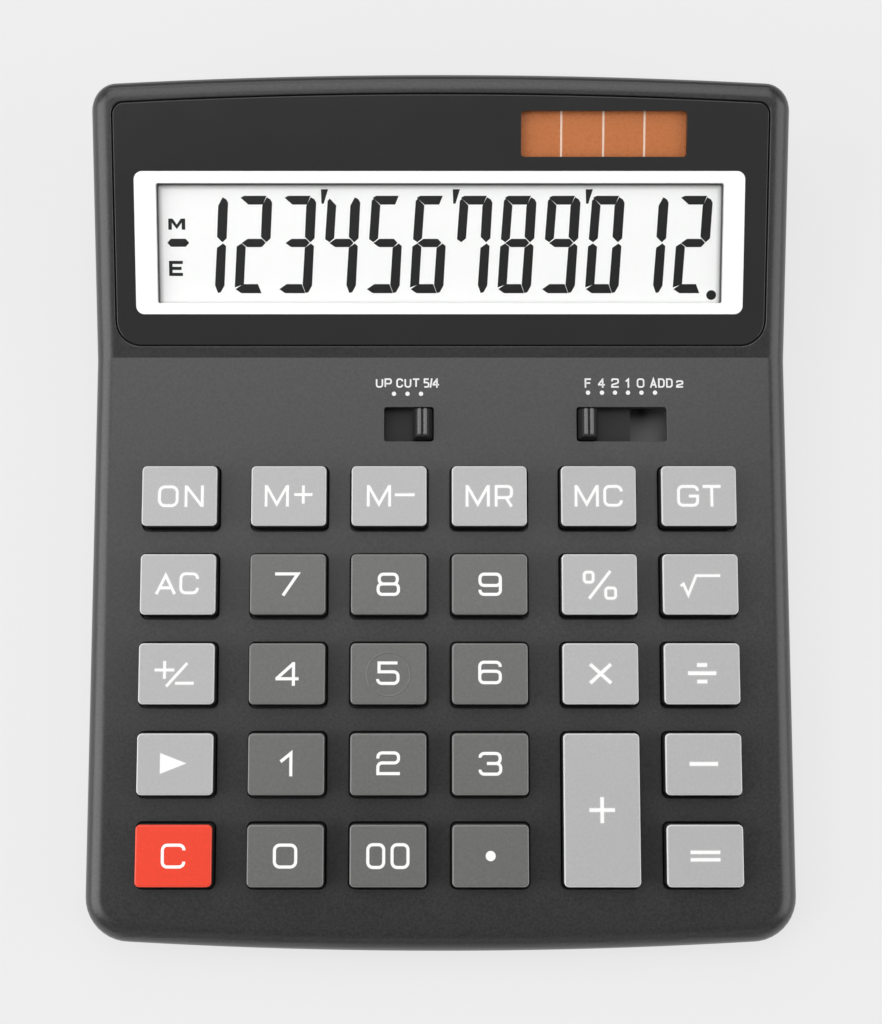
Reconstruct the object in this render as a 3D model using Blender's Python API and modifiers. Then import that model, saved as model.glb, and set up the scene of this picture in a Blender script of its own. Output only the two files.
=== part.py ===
# Large twelve-digit desk calculator with solar and battery power, in metres, +Z up.
# The origin is on the table below the middle of the casing; +Y points to the display end.
# Run it with: blender --background --python part.py

from math import cos, pi, radians, sin, tan

import bmesh
import bpy
from mathutils import Matrix, Vector

# Driving dimensions of the casing
CASE_WIDTH = 0.158
CASE_DEPTH = 0.1950
FRONT_BOW = 0.0026
REAR_BOW = 0.0021
FRONT_CORNER_RADIUS = 0.0100
REAR_CORNER_RADIUS = 0.0060
DECK_FRONT_HEIGHT = 0.0118
DISPLAY_BLOCK_DEPTH = 0.0623
CREASE_FROM_FRONT = CASE_DEPTH - DISPLAY_BLOCK_DEPTH
DECK_SLOPE = radians(2)
DISPLAY_SLOPE = radians(15)
EDGE_RADIUS = 0.0045
FRONT_ROLL_LENGTH = 0.0130
FRONT_ROLL_DROP = 0.0008
CASE_WALL = 0.0020
DISPLAY_WALL = 0.0032
FOOT_STAND = 0.0010
FLOOR_THICKNESS = 0.0018
SEAM_HEIGHT = 0.0050

# Driving dimensions of the key field, whose caps fill the room that the casing leaves
COLUMNS = 6
ROWS = 5
KEYS_FROM_LEFT = 0.01219
KEYS_FROM_RIGHT = 0.01289
KEYS_FROM_CREASE = 0.02549
KEYS_FROM_FRONT = 0.01459
BLOCK_SPACING = 0.0020
BLOCK_SPACES = 2
GAP_BESIDE_KEYS = 0.00572
GAP_BETWEEN_ROWS = 0.00638
KEY_STAND = 0.0038
KEY_TRAVEL = 0.0020
GAPS_ACROSS = (COLUMNS - 1) * GAP_BESIDE_KEYS + BLOCK_SPACES * BLOCK_SPACING
GAPS_ALONG = (ROWS - 1) * GAP_BETWEEN_ROWS
KEY_WIDTH = (CASE_WIDTH - KEYS_FROM_LEFT - KEYS_FROM_RIGHT - GAPS_ACROSS) / COLUMNS
KEY_DEPTH = (CREASE_FROM_FRONT - KEYS_FROM_CREASE - KEYS_FROM_FRONT - GAPS_ALONG) / ROWS
KEY_PITCH_X = KEY_WIDTH + GAP_BESIDE_KEYS
KEY_PITCH_Y = KEY_DEPTH + GAP_BETWEEN_ROWS
FIRST_COLUMN_X = KEYS_FROM_LEFT + KEY_WIDTH / 2 - CASE_WIDTH / 2
FIRST_ROW_FROM_CREASE = KEYS_FROM_CREASE + KEY_DEPTH / 2

# Clearances, and the overrun of every cut past the face it opens
SEAT_GAP = 0.0003
OVERRUN = 0.0010
WELD = 0.000001

# Facets of round forms
ARC_STEPS = 5
BOW_STEPS = 6
ROLL_STEPS = 4
RIM_STEPS = 4
BOSS_SIDES = 12
FOOT_SIDES = 16
CELL_SIDES = 24
SMOOTH_ANGLE = radians(35)
FLAT_ANGLE = radians(0.1)
STRIP_ANGLE = radians(0.01)

# Places that follow from the driving dimensions
FRONT_Y = -CASE_DEPTH / 2
REAR_Y = CASE_DEPTH / 2
CREASE_Y = FRONT_Y + CREASE_FROM_FRONT
CREASE_HEIGHT = DECK_FRONT_HEIGHT + CREASE_FROM_FRONT * tan(DECK_SLOPE)
FLOOR_TOP = FOOT_STAND + FLOOR_THICKNESS
WORLD = Matrix()
CREASE = Matrix.Translation((0, CREASE_Y, CREASE_HEIGHT))
DECK = CREASE @ Matrix.Rotation(DECK_SLOPE, 4, "X")
DISPLAY = CREASE @ Matrix.Rotation(DISPLAY_SLOPE, 4, "X")
# A drawing in side view has Y to its right and Z up; its thickness runs along X
SIDE_VIEW = Matrix(((0, 0, 1, 0), (1, 0, 0, 0), (0, 1, 0, 0), (0, 0, 0, 1)))
# A drawing in front view has X to its right and Z up; its thickness runs along -Y
FRONT_VIEW = Matrix(((1, 0, 0, 0), (0, 0, -1, 0), (0, 1, 0, 0), (0, 0, 0, 1)))

# Start from an empty scene with one collection for the parts and one for the cutters
for old in list(bpy.data.objects):
    bpy.data.objects.remove(old, do_unlink=True)
PARTS = bpy.data.collections.new("desk_calculator")
CUTTERS = bpy.data.collections.new("cutters")
bpy.context.scene.collection.children.link(PARTS)
bpy.context.scene.collection.children.link(CUTTERS)


def make_material(name, colour, roughness, metallic=0.0):
    """A Principled BSDF material with its colour, roughness and metallic value."""
    material = bpy.data.materials.new(name)
    material.use_nodes = True
    shader = material.node_tree.nodes["Principled BSDF"]
    shader.inputs["Base Color"].default_value = (*colour, 1.0)
    shader.inputs["Roughness"].default_value = roughness
    shader.inputs["Metallic"].default_value = metallic
    material.diffuse_color = (*colour, 1.0)
    return material


CASE_BLACK = make_material("case_black", (0.045, 0.045, 0.046), 0.55)
LENS_BLACK = make_material("lens_black", (0.02, 0.02, 0.022), 0.15)
KEY_LIGHT = make_material("key_light_grey", (0.48, 0.48, 0.48), 0.45)
KEY_DARK = make_material("key_dark_grey", (0.17, 0.17, 0.17), 0.45)
KEY_RED = make_material("key_red", (0.90, 0.09, 0.045), 0.45)
KNOB_BLACK = make_material("knob_black", (0.012, 0.012, 0.012), 0.40)
LCD_GREY = make_material("lcd_grey", (0.80, 0.82, 0.80), 0.20)
HOLDER_WHITE = make_material("holder_white", (0.75, 0.75, 0.74), 0.50)
SOLAR_COPPER = make_material("solar_copper", (0.48, 0.17, 0.07), 0.25)
SILICONE = make_material("silicone_grey", (0.30, 0.31, 0.32), 0.70)
BOARD_GREY = make_material("board_grey", (0.11, 0.115, 0.11), 0.45)
EPOXY_BLACK = make_material("epoxy_black", (0.02, 0.02, 0.02), 0.35)
STEEL = make_material("steel", (0.60, 0.60, 0.60), 0.30, 1.0)
SPRING_METAL = make_material("spring_metal", (0.72, 0.60, 0.38), 0.35, 1.0)
RUBBER = make_material("rubber_black", (0.03, 0.03, 0.03), 0.80)
RIBBON_AMBER = make_material("ribbon_amber", (0.45, 0.22, 0.05), 0.40)
WIRE_RED = make_material("wire_red", (0.60, 0.04, 0.03), 0.50)
WIRE_BLACK = make_material("wire_black", (0.02, 0.02, 0.02), 0.50)


def add_object(name, mesh, material=None):
    """Put a mesh in the collection of parts."""
    piece = bpy.data.objects.new(name, mesh)
    PARTS.objects.link(piece)
    if material:
        mesh.materials.append(material)
    return piece


def evaluated_mesh(piece):
    """The mesh that a piece has once its curve or its modifiers are worked out."""
    bpy.context.view_layer.update()
    graph = bpy.context.evaluated_depsgraph_get()
    return bpy.data.meshes.new_from_object(piece.evaluated_get(graph))


def smooth(piece):
    """Shade a round piece smooth, with its real edges kept sharp."""
    piece.data.shade_smooth()
    piece.data.set_sharp_from_angle(angle=SMOOTH_ANGLE)
    return piece


def slab(name, outlines, low, high, frame=WORLD, material=None):
    """A flat solid between two heights of a frame: a filled 2D curve; later outlines are its holes."""
    curve = bpy.data.curves.new(name, "CURVE")
    curve.dimensions = "2D"
    curve.fill_mode = "BOTH"
    curve.extrude = (high - low) / 2
    for outline in outlines:
        spline = curve.splines.new("POLY")
        spline.points.add(len(outline) - 1)
        spline.use_cyclic_u = True
        for point, (x, y) in zip(spline.points, outline):
            point.co = (x, y, 0, 1)
    drawing = bpy.data.objects.new(name, curve)
    PARTS.objects.link(drawing)
    mesh = evaluated_mesh(drawing)
    bpy.data.objects.remove(drawing, do_unlink=True)
    bpy.data.curves.remove(curve)
    shape = bmesh.new()
    shape.from_mesh(mesh)
    bmesh.ops.remove_doubles(shape, verts=shape.verts, dist=WELD)
    if len(outlines) == 1:
        bmesh.ops.dissolve_limit(shape, angle_limit=FLAT_ANGLE, verts=shape.verts, edges=shape.edges)
    bmesh.ops.recalc_face_normals(shape, faces=shape.faces)
    shape.to_mesh(mesh)
    shape.free()
    mesh.transform(frame @ Matrix.Translation((0, 0, (low + high) / 2)))
    mesh.materials.clear()
    return add_object(name, mesh, material)


def round_bar(name, radius, low, high, centre, frame=WORLD, material=None, tip=None, sides=BOSS_SIDES):
    """A cylinder between two heights of a frame, or a cone where the tip has its own radius."""
    mesh = bpy.data.meshes.new(name)
    shape = bmesh.new()
    tip = radius if tip is None else tip
    bmesh.ops.create_cone(
        shape, cap_ends=True, segments=sides, radius1=radius, radius2=tip, depth=high - low
    )
    shape.to_mesh(mesh)
    shape.free()
    mesh.transform(frame @ Matrix.Translation((*centre, (low + high) / 2)))
    return smooth(add_object(name, mesh, material))


def rectangle(x_low, x_high, y_low, y_high, radii=None, steps=2):
    """The outline of a rectangle, whose corners are round where radii gives their radius.

    Corners run from the low one round by the right; radii is one length, or one for each corner.
    """
    if radii is None:
        return [(x_low, y_low), (x_high, y_low), (x_high, y_high), (x_low, y_high)]
    if not isinstance(radii, tuple):
        radii = (radii,) * 4
    turns = (pi, 1.5 * pi, 0.0, 0.5 * pi)
    x_signs, y_signs = (1, -1, -1, 1), (1, 1, -1, -1)
    corners = ((x_low, y_low), (x_high, y_low), (x_high, y_high), (x_low, y_high))
    points = []
    for (x, y), x_sign, y_sign, turn, radius in zip(corners, x_signs, y_signs, turns, radii):
        for step in range(steps + 1):
            angle = turn + 0.5 * pi * step / steps
            points.append(
                (x + radius * (x_sign + cos(angle)), y + radius * (y_sign + sin(angle)))
            )
    return points


def box_outline(centre, width, depth, radius=None, steps=2):
    """A rectangle by its centre and its size."""
    x, y = centre
    return rectangle(x - width / 2, x + width / 2, y - depth / 2, y + depth / 2, radius, steps)


def circle(centre, radius, sides=BOSS_SIDES):
    """The outline of a round hole."""
    turns = [2 * pi * step / sides for step in range(sides)]
    return [(centre[0] + radius * cos(turn), centre[1] + radius * sin(turn)) for turn in turns]


def strip_outline(path, thickness):
    """The outline of a thin strip whose middle follows a path, with mitred bends."""
    path = [Vector(point) for point in path]
    left, right = [], []
    for before, here, after in zip([path[0], *path[:-1]], path, [*path[1:], path[-1]]):
        come = (here - before).normalized() if here != before else (after - here).normalized()
        leave = (after - here).normalized() if after != here else come
        across = Vector((-(come + leave).y, (come + leave).x)).normalized()
        reach = thickness / 2 / across.dot(Vector((-come.y, come.x)))
        left.append(tuple(here + across * reach))
        right.append(tuple(here - across * reach))
    return left + right[::-1]


def round_wire(name, path, radius, material):
    """A thin round wire along a path: a bevelled curve made into one closed mesh."""
    curve = bpy.data.curves.new(name, "CURVE")
    curve.dimensions = "3D"
    curve.bevel_depth = radius
    curve.bevel_resolution = 1
    curve.use_fill_caps = True
    spline = curve.splines.new("POLY")
    spline.points.add(len(path) - 1)
    for point, place in zip(spline.points, path):
        point.co = (*place, 1)
    drawing = bpy.data.objects.new(name, curve)
    PARTS.objects.link(drawing)
    mesh = evaluated_mesh(drawing)
    bpy.data.objects.remove(drawing, do_unlink=True)
    bpy.data.curves.remove(curve)
    shape = bmesh.new()
    shape.from_mesh(mesh)
    bmesh.ops.remove_doubles(shape, verts=shape.verts, dist=WELD)
    bmesh.ops.recalc_face_normals(shape, faces=shape.faces)
    shape.to_mesh(mesh)
    shape.free()
    mesh.materials.clear()
    return smooth(add_object(name, mesh, material))


def merge(name, pieces, material=None):
    """One mesh object that holds several separate solids, for use as one tool."""
    shape = bmesh.new()
    for piece in pieces:
        shape.from_mesh(piece.data)
        bpy.data.objects.remove(piece, do_unlink=True)
    mesh = bpy.data.meshes.new(name)
    shape.to_mesh(mesh)
    shape.free()
    return add_object(name, mesh, material)


def use_tool(piece, tool, operation):
    """Add a Boolean modifier and move its tool to the cutters."""
    modifier = piece.modifiers.new(tool.name, "BOOLEAN")
    modifier.operation = operation
    modifier.object = tool
    if tool.name not in CUTTERS.objects:
        PARTS.objects.unlink(tool)
        CUTTERS.objects.link(tool)
    tool.hide_render = True
    tool.display_type = "WIRE"


def cut(piece, tool):
    use_tool(piece, tool, "DIFFERENCE")


def join(piece, tool):
    use_tool(piece, tool, "UNION")


def deck_height(y):
    """Height of the deck's plane above the table."""
    return CREASE_HEIGHT + (y - CREASE_Y) * tan(DECK_SLOPE)


def display_height(y):
    """Height of the display's plane above the table."""
    return CREASE_HEIGHT + (y - CREASE_Y) * tan(DISPLAY_SLOPE)


# Casing outline and wedge

def bowed_edge(y_end, side, bow, x):
    """The front or rear edge of the casing, which bulges most in the middle."""
    return y_end - side * bow * (2 * x / CASE_WIDTH) ** 2


def case_outline(inset):
    """Plan of the casing, drawn in by an inset, with bowed ends, straight sides and round corners."""
    half = CASE_WIDTH / 2 - inset
    points = []
    ends = (
        (-1, FRONT_Y, FRONT_BOW, FRONT_CORNER_RADIUS),
        (1, REAR_Y, REAR_BOW, REAR_CORNER_RADIUS),
    )
    for side, y_end, bow, corner in ends:
        radius = corner - inset
        y_inner = y_end - side * inset
        x_turn = half - radius
        y_turn = bowed_edge(y_inner, side, bow, x_turn) - side * radius
        end = []
        for step in range(ARC_STEPS + 1):
            angle = pi - 0.5 * pi * step / ARC_STEPS
            end.append((radius * cos(angle) - x_turn, y_turn + side * radius * sin(angle)))
        for step in range(1, BOW_STEPS):
            x = x_turn * (2 * step / BOW_STEPS - 1)
            end.append((x, bowed_edge(y_inner, side, bow, x)))
        end += [(-x, y) for x, y in reversed(end[: ARC_STEPS + 1])]
        points += end if side < 0 else end[::-1]
    return points


def cut_across(shape, y):
    """Cut every face of a shape along a plane across the casing."""
    everything = shape.verts[:] + shape.edges[:] + shape.faces[:]
    bmesh.ops.bisect_plane(shape, geom=everything, dist=WELD, plane_co=(0, y, 0), plane_no=(0, 1, 0))


def roll_drop(y):
    """How far the front of the deck rolls down, in flat strips that follow a parabola."""
    share = max(0.0, (FRONT_Y + FRONT_ROLL_LENGTH - y) / FRONT_ROLL_LENGTH) * ROLL_STEPS
    step = int(share)
    return FRONT_ROLL_DROP * (step**2 + (share - step) * (2 * step + 1)) / ROLL_STEPS**2


def wedge(name, inset, deck_drop, display_drop, bottom, radius):
    """Solid wedge inside the casing's outline, with its top lowered and its top rim rounded.

    A prism is cut across at the crease, and its top is lifted to the planes of the deck and of the
    display. The rim is rounded, and the front then rolls down a little, strip by strip.
    """
    low_deck = deck_drop / cos(DECK_SLOPE)
    low_display = display_drop / cos(DISPLAY_SLOPE)
    crease = CREASE_Y + (low_display - low_deck) / (tan(DISPLAY_SLOPE) - tan(DECK_SLOPE))
    body = slab(name, [case_outline(inset)], bottom, CREASE_HEIGHT)
    shape = bmesh.new()
    shape.from_mesh(body.data)
    cut_across(shape, crease)
    middle = (bottom + CREASE_HEIGHT) / 2
    for vert in shape.verts:
        if vert.co.z > middle:
            y = vert.co.y
            on_deck = y <= crease + WELD
            vert.co.z = deck_height(y) - low_deck if on_deck else display_height(y) - low_display
    shape.normal_update()
    rim = [
        edge
        for edge in shape.edges
        if sorted(face.normal.z > 0.5 for face in edge.link_faces) == [False, True]
        and min(vert.co.z for vert in edge.verts) > bottom + WELD
    ]
    bmesh.ops.bevel(
        shape, geom=rim, offset=radius, offset_type="OFFSET", segments=RIM_STEPS, profile=0.5,
        affect="EDGES", clamp_overlap=False,
    )
    for step in range(ROLL_STEPS):
        cut_across(shape, FRONT_Y + FRONT_ROLL_LENGTH * (1 - step / ROLL_STEPS))
    for vert in shape.verts:
        if vert.co.z > bottom + WELD:
            vert.co.z -= roll_drop(vert.co.y)
    bmesh.ops.dissolve_limit(shape, angle_limit=STRIP_ANGLE, verts=shape.verts, edges=shape.edges)
    bmesh.ops.recalc_face_normals(shape, faces=shape.faces)
    shape.to_mesh(body.data)
    shape.free()
    return smooth(body)


# Key field: which key sits where, and its colour

KEY_ROWS = (
    (("on", KEY_LIGHT), ("m_plus", KEY_LIGHT), ("m_minus", KEY_LIGHT),
     ("mr", KEY_LIGHT), ("mc", KEY_LIGHT), ("gt", KEY_LIGHT)),
    (("ac", KEY_LIGHT), ("7", KEY_DARK), ("8", KEY_DARK),
     ("9", KEY_DARK), ("percent", KEY_LIGHT), ("root", KEY_LIGHT)),
    (("sign", KEY_LIGHT), ("4", KEY_DARK), ("5", KEY_DARK),
     ("6", KEY_DARK), ("multiply", KEY_LIGHT), ("divide", KEY_LIGHT)),
    (("back", KEY_LIGHT), ("1", KEY_DARK), ("2", KEY_DARK),
     ("3", KEY_DARK), ("plus", KEY_LIGHT), ("minus", KEY_LIGHT)),
    (("c", KEY_RED), ("0", KEY_DARK), ("00", KEY_DARK),
     ("point", KEY_DARK), None, ("equals", KEY_LIGHT)),
)
TALL_KEY = "plus"


def column_x(column):
    """Middle of a column of keys: the first column and the last two stand apart from the digits."""
    blocks = (column >= 1) + (column >= 4)
    return FIRST_COLUMN_X + column * KEY_PITCH_X + blocks * BLOCK_SPACING


def row_y(row):
    """Middle of a row of keys, along the deck from the crease."""
    return -(FIRST_ROW_FROM_CREASE + row * KEY_PITCH_Y)


def key_places():
    """Name, colour, middle and length along the deck of every key."""
    for row, keys in enumerate(KEY_ROWS):
        for column, key in enumerate(keys):
            if key is None:
                continue
            tall = key[0] == TALL_KEY
            centre = (column_x(column), row_y(row) - tall * KEY_PITCH_Y / 2)
            yield key[0], key[1], centre, KEY_DEPTH + tall * KEY_PITCH_Y


# Key cap: a hollow moulded cap with drafted walls, a flange that seats under the deck, and a plunger
KEY_DRAFT = 0.0003
KEY_EDGE_RADIUS = 0.00055
KEY_CORNER_RADIUS = 0.0011
KEY_WALL = 0.0011
KEY_CROWN = 0.0012
KEY_SLOT_GAP = 0.0003
FLANGE_WIDTH = 0.0008
FLANGE_THICKNESS = 0.0009
PLUNGER_RADIUS = 0.0020
FLANGE_TOP = -CASE_WALL - SEAT_GAP
KEY_BOTTOM = FLANGE_TOP - FLANGE_THICKNESS


def aperture_outline(centre, depth):
    """The hole in the deck round a key cap."""
    grow = 2 * (KEY_DRAFT + KEY_SLOT_GAP)
    return box_outline(centre, KEY_WIDTH + grow, depth + grow, KEY_CORNER_RADIUS + KEY_SLOT_GAP)


def draft(piece, amount, middle):
    """Draw in the upper half of an upright solid by the same amount on every side."""
    for vert in piece.data.vertices:
        if vert.co.z > middle:
            vert.co.x -= amount if vert.co.x > 0 else -amount
            vert.co.y -= amount if vert.co.y > 0 else -amount
    return piece


def key_mesh(name, depth):
    """The mesh of a key cap, about its own middle at the deck's surface."""
    here = (0, 0)
    base_width, base_depth = KEY_WIDTH + 2 * KEY_DRAFT, depth + 2 * KEY_DRAFT
    grow = 2 * (KEY_DRAFT + KEY_SLOT_GAP + FLANGE_WIDTH)
    cap = slab(
        name, [box_outline(here, base_width, base_depth, KEY_CORNER_RADIUS)], KEY_BOTTOM, KEY_STAND
    )
    draft(cap, KEY_DRAFT, 0)
    shape = bmesh.new()
    shape.from_mesh(cap.data)
    top = max(vert.co.z for vert in shape.verts)
    crown = [edge for edge in shape.edges if min(vert.co.z for vert in edge.verts) > top - WELD]
    bmesh.ops.bevel(
        shape, geom=crown, offset=KEY_EDGE_RADIUS, offset_type="OFFSET", segments=2, profile=0.5,
        affect="EDGES",
    )
    shape.to_mesh(cap.data)
    shape.free()
    flange = slab(
        name + "_flange",
        [box_outline(here, KEY_WIDTH + grow, depth + grow)],
        KEY_BOTTOM,
        FLANGE_TOP,
    )
    hollow = slab(
        name + "_hollow",
        [box_outline(here, KEY_WIDTH - 2 * KEY_WALL, depth - 2 * KEY_WALL, KEY_CORNER_RADIUS / 2, 1)],
        KEY_BOTTOM - OVERRUN,
        KEY_STAND - KEY_CROWN,
    )
    plunger = round_bar(
        name + "_plunger", PLUNGER_RADIUS, KEY_BOTTOM, KEY_STAND - KEY_CROWN / 2, here, sides=6
    )
    join(cap, flange)
    cut(cap, hollow)
    join(cap, plunger)
    mesh = evaluated_mesh(cap)
    shape = bmesh.new()
    shape.from_mesh(mesh)
    bmesh.ops.remove_doubles(shape, verts=shape.verts, dist=WELD)
    bmesh.ops.dissolve_degenerate(shape, edges=shape.edges, dist=WELD)
    shape.to_mesh(mesh)
    shape.free()
    mesh.materials.clear()
    for piece in (cap, flange, hollow, plunger):
        bpy.data.objects.remove(piece, do_unlink=True)
    return mesh


# Slide switches: where each slot ends, how many steps its knob makes, and which way it moves
SWITCH_MIDDLE_FROM_CREASE = 0.01536
SLOT_DEPTH = 0.0078
KNOB_WIDTH = 0.0044
STEP_LENGTH = 0.00306
LEFT_SLOT_END_X = -0.0016
RIGHT_SLOT_FROM_SIDE = 0.0481
RIGHT_SLOT_END_X = CASE_WIDTH / 2 - RIGHT_SLOT_FROM_SIDE
LEFT_STEPS = 2
RIGHT_STEPS = 5
KNOB_GAP = 0.00035
SLOT_RADIUS = 0.0006
SWITCH_Y = -SWITCH_MIDDLE_FROM_CREASE


def slot_length(steps):
    return KNOB_WIDTH + steps * STEP_LENGTH + 2 * KNOB_GAP


SWITCHES = (
    ("left", LEFT_SLOT_END_X - slot_length(LEFT_STEPS), LEFT_SLOT_END_X, LEFT_STEPS, -1),
    ("right", RIGHT_SLOT_END_X, RIGHT_SLOT_END_X + slot_length(RIGHT_STEPS), RIGHT_STEPS, 1),
)

# Stack under the deck: rubber keypad and circuit board
DOME_CRUSHED_HEIGHT = 0.0006
DOME_HEIGHT = KEY_TRAVEL + DOME_CRUSHED_HEIGHT
SHEET_THICKNESS = 0.0008
BOARD_THICKNESS = 0.0012
DOME_TOP = KEY_BOTTOM - SEAT_GAP
SHEET_TOP = DOME_TOP - DOME_HEIGHT
SHEET_BOTTOM = SHEET_TOP - SHEET_THICKNESS
BOARD_TOP = SHEET_BOTTOM - SEAT_GAP
BOARD_BOTTOM = BOARD_TOP - BOARD_THICKNESS
LOCATOR_RADIUS = 0.0018
LOCATOR_GAP = 0.0004
LOCATORS = tuple(
    ((column_x(column) + column_x(column + 1)) / 2, (row_y(row) + row_y(row + 1)) / 2)
    for column in (0, 3)
    for row in (0, 2, 3)
)

# Case screws: their places, and the plane at which the upper and lower bosses meet
BOSS_PLANE = 0.0060
UPPER_BOSS_RADIUS = 0.0030
LOWER_BOSS_RADIUS = 0.0036
PILOT_RADIUS = 0.00115
PILOT_DEPTH = 0.0032
SCREW_FROM_SIDE = 0.0079
SCREW_FROM_FRONT = 0.0122
SCREW_FROM_REAR = 0.0123
FRONT_SCREW_FROM_CREASE = CREASE_FROM_FRONT - SCREW_FROM_FRONT
MIDDLE_SCREW_FROM_CREASE = FIRST_ROW_FROM_CREASE + KEY_PITCH_Y / 2
REAR_SCREW_BEHIND_CREASE = DISPLAY_BLOCK_DEPTH - SCREW_FROM_REAR
SCREW_PLACES = tuple(
    (side * (CASE_WIDTH / 2 - SCREW_FROM_SIDE), CREASE_Y + y)
    for y in (-FRONT_SCREW_FROM_CREASE, -MIDDLE_SCREW_FROM_CREASE, REAR_SCREW_BEHIND_CREASE)
    for side in (-1, 1)
)

# Display block: recess, windows, and what lies behind them, along the slope from the crease
RECESS_MARGIN = 0.0050
RECESS_REAR_MARGIN = 0.0054
RECESS_FRONT = 0.0026
RECESS_DEPTH = 0.0016
RECESS_FRONT_RADIUS = 0.0058
RECESS_REAR_RADIUS = 0.0028
RECESS_REAR = (REAR_Y - CREASE_Y) / cos(DISPLAY_SLOPE) - RECESS_REAR_MARGIN
PANEL_FROM_SIDE = 0.0110
PANEL_HALF_WIDTH = CASE_WIDTH / 2 - PANEL_FROM_SIDE
PANEL_FRONT = 0.0086
PANEL_REAR = 0.0418
WINDOW_LAP_SIDE = 0.0024
WINDOW_LAP_FRONT = 0.0027
WINDOW_LAP_REAR = 0.0015
WINDOW_HALF_WIDTH = PANEL_HALF_WIDTH - WINDOW_LAP_SIDE
WINDOW_FRONT = PANEL_FRONT + WINDOW_LAP_FRONT
WINDOW_REAR = PANEL_REAR - WINDOW_LAP_REAR
WINDOW_RADIUS = 0.0010
SOLAR_FROM_SIDE = 0.04215
SOLAR_MIDDLE_X = CASE_WIDTH / 2 - SOLAR_FROM_SIDE
SOLAR_MIDDLE = 0.0501
SOLAR_WINDOW_WIDTH = 0.0386
SOLAR_WINDOW_DEPTH = 0.0111
PANEL_BACK = -DISPLAY_WALL
RECESS_FLOOR = -RECESS_DEPTH


def recess_outline(inset):
    """Outline of the recess for the lens: its rear edge runs beside the casing's bowed rear edge."""
    half = CASE_WIDTH / 2 - RECESS_MARGIN - inset
    front, rear = RECESS_FRONT + inset, RECESS_REAR - inset
    corners = (
        RECESS_FRONT_RADIUS - inset, RECESS_FRONT_RADIUS - inset,
        RECESS_REAR_RADIUS - inset, RECESS_REAR_RADIUS - inset,
    )
    drop = REAR_BOW * (2 * half / CASE_WIDTH) ** 2
    points = rectangle(-half, half, front, rear - drop, corners, ARC_STEPS)
    right_rear = points[2 * (ARC_STEPS + 1) : 3 * (ARC_STEPS + 1)]
    x_turn, y_turn = right_rear[-1]
    arch = []
    for step in range(1, BOW_STEPS):
        share = 1 - 2 * step / BOW_STEPS
        arch.append((x_turn * share, y_turn + drop * (1 - share**2)))
    cut_at = 3 * (ARC_STEPS + 1)
    return points[:cut_at] + arch + points[cut_at:]


# Stack behind the display: liquid crystal panel and its holder, which clips of the casing carry
GLASS_THICKNESS = 0.0010
PANEL_LEDGE = 0.0030
PANEL_TOP = PANEL_BACK - SEAT_GAP
PANEL_BOTTOM = PANEL_TOP - 2 * GLASS_THICKNESS
HOLDER_WALL = 0.0012
HOLDER_BASE = 0.0015
HOLDER_BOTTOM = PANEL_BOTTOM - SEAT_GAP - HOLDER_BASE
HOLDER_HALF_WIDTH = PANEL_HALF_WIDTH + SEAT_GAP + HOLDER_WALL
CLIP_WIDTH = 0.0050
CLIP_THICKNESS = 0.0012
CLIP_HOOK = 0.0012
CLIP_FROM_ENDS = 0.0070

# Upper casing: moulded wedge with recess, windows, key apertures, slots, rails, locators and bosses
RAIL_THICKNESS = 0.0010
CARRIER_OVERLAP = 0.0012
CARRIER_COVER = 0.0076
SOLAR_WINDOW = box_outline(
    (SOLAR_MIDDLE_X, SOLAR_MIDDLE), SOLAR_WINDOW_WIDTH, SOLAR_WINDOW_DEPTH, WINDOW_RADIUS
)
WINDOW = rectangle(
    -WINDOW_HALF_WIDTH, WINDOW_HALF_WIDTH, WINDOW_FRONT, WINDOW_REAR, WINDOW_RADIUS
)


def rail_outlines():
    """The ribs that guide each knob's carrier, in front of it and behind it."""
    outlines = []
    reach = SLOT_DEPTH / 2 + CARRIER_OVERLAP + SEAT_GAP
    for _, x_low, x_high, _, _ in SWITCHES:
        x_low, x_high = x_low - CARRIER_COVER, x_high + CARRIER_COVER
        for side in (-1, 1):
            near, far = SWITCH_Y + side * reach, SWITCH_Y + side * (reach + RAIL_THICKNESS)
            outlines.append(rectangle(x_low, x_high, min(near, far), max(near, far)))
    return outlines


def holder_clips():
    """Four clips at the ends of the holder: each has a leg beside it and a hook under its base."""
    hook_top = HOLDER_BOTTOM - SEAT_GAP
    low = hook_top - CLIP_THICKNESS
    clips = []
    for middle in (PANEL_FRONT + PANEL_LEDGE + CLIP_FROM_ENDS, PANEL_REAR - CLIP_FROM_ENDS):
        for side in (-1, 1):
            near = side * (HOLDER_HALF_WIDTH + SEAT_GAP)
            far = side * (HOLDER_HALF_WIDTH + SEAT_GAP + CLIP_THICKNESS)
            tip = side * (HOLDER_HALF_WIDTH - CLIP_HOOK)
            root = -DISPLAY_WALL / 2
            leg = [(near, root), (far, root), (far, low)]
            outline = leg + [(tip, low), (tip, hook_top), (near, hook_top)]
            ends = (-middle - CLIP_WIDTH / 2, -middle + CLIP_WIDTH / 2)
            clips.append(slab("clip", [outline], *ends, DISPLAY @ FRONT_VIEW))
    return clips


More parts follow.
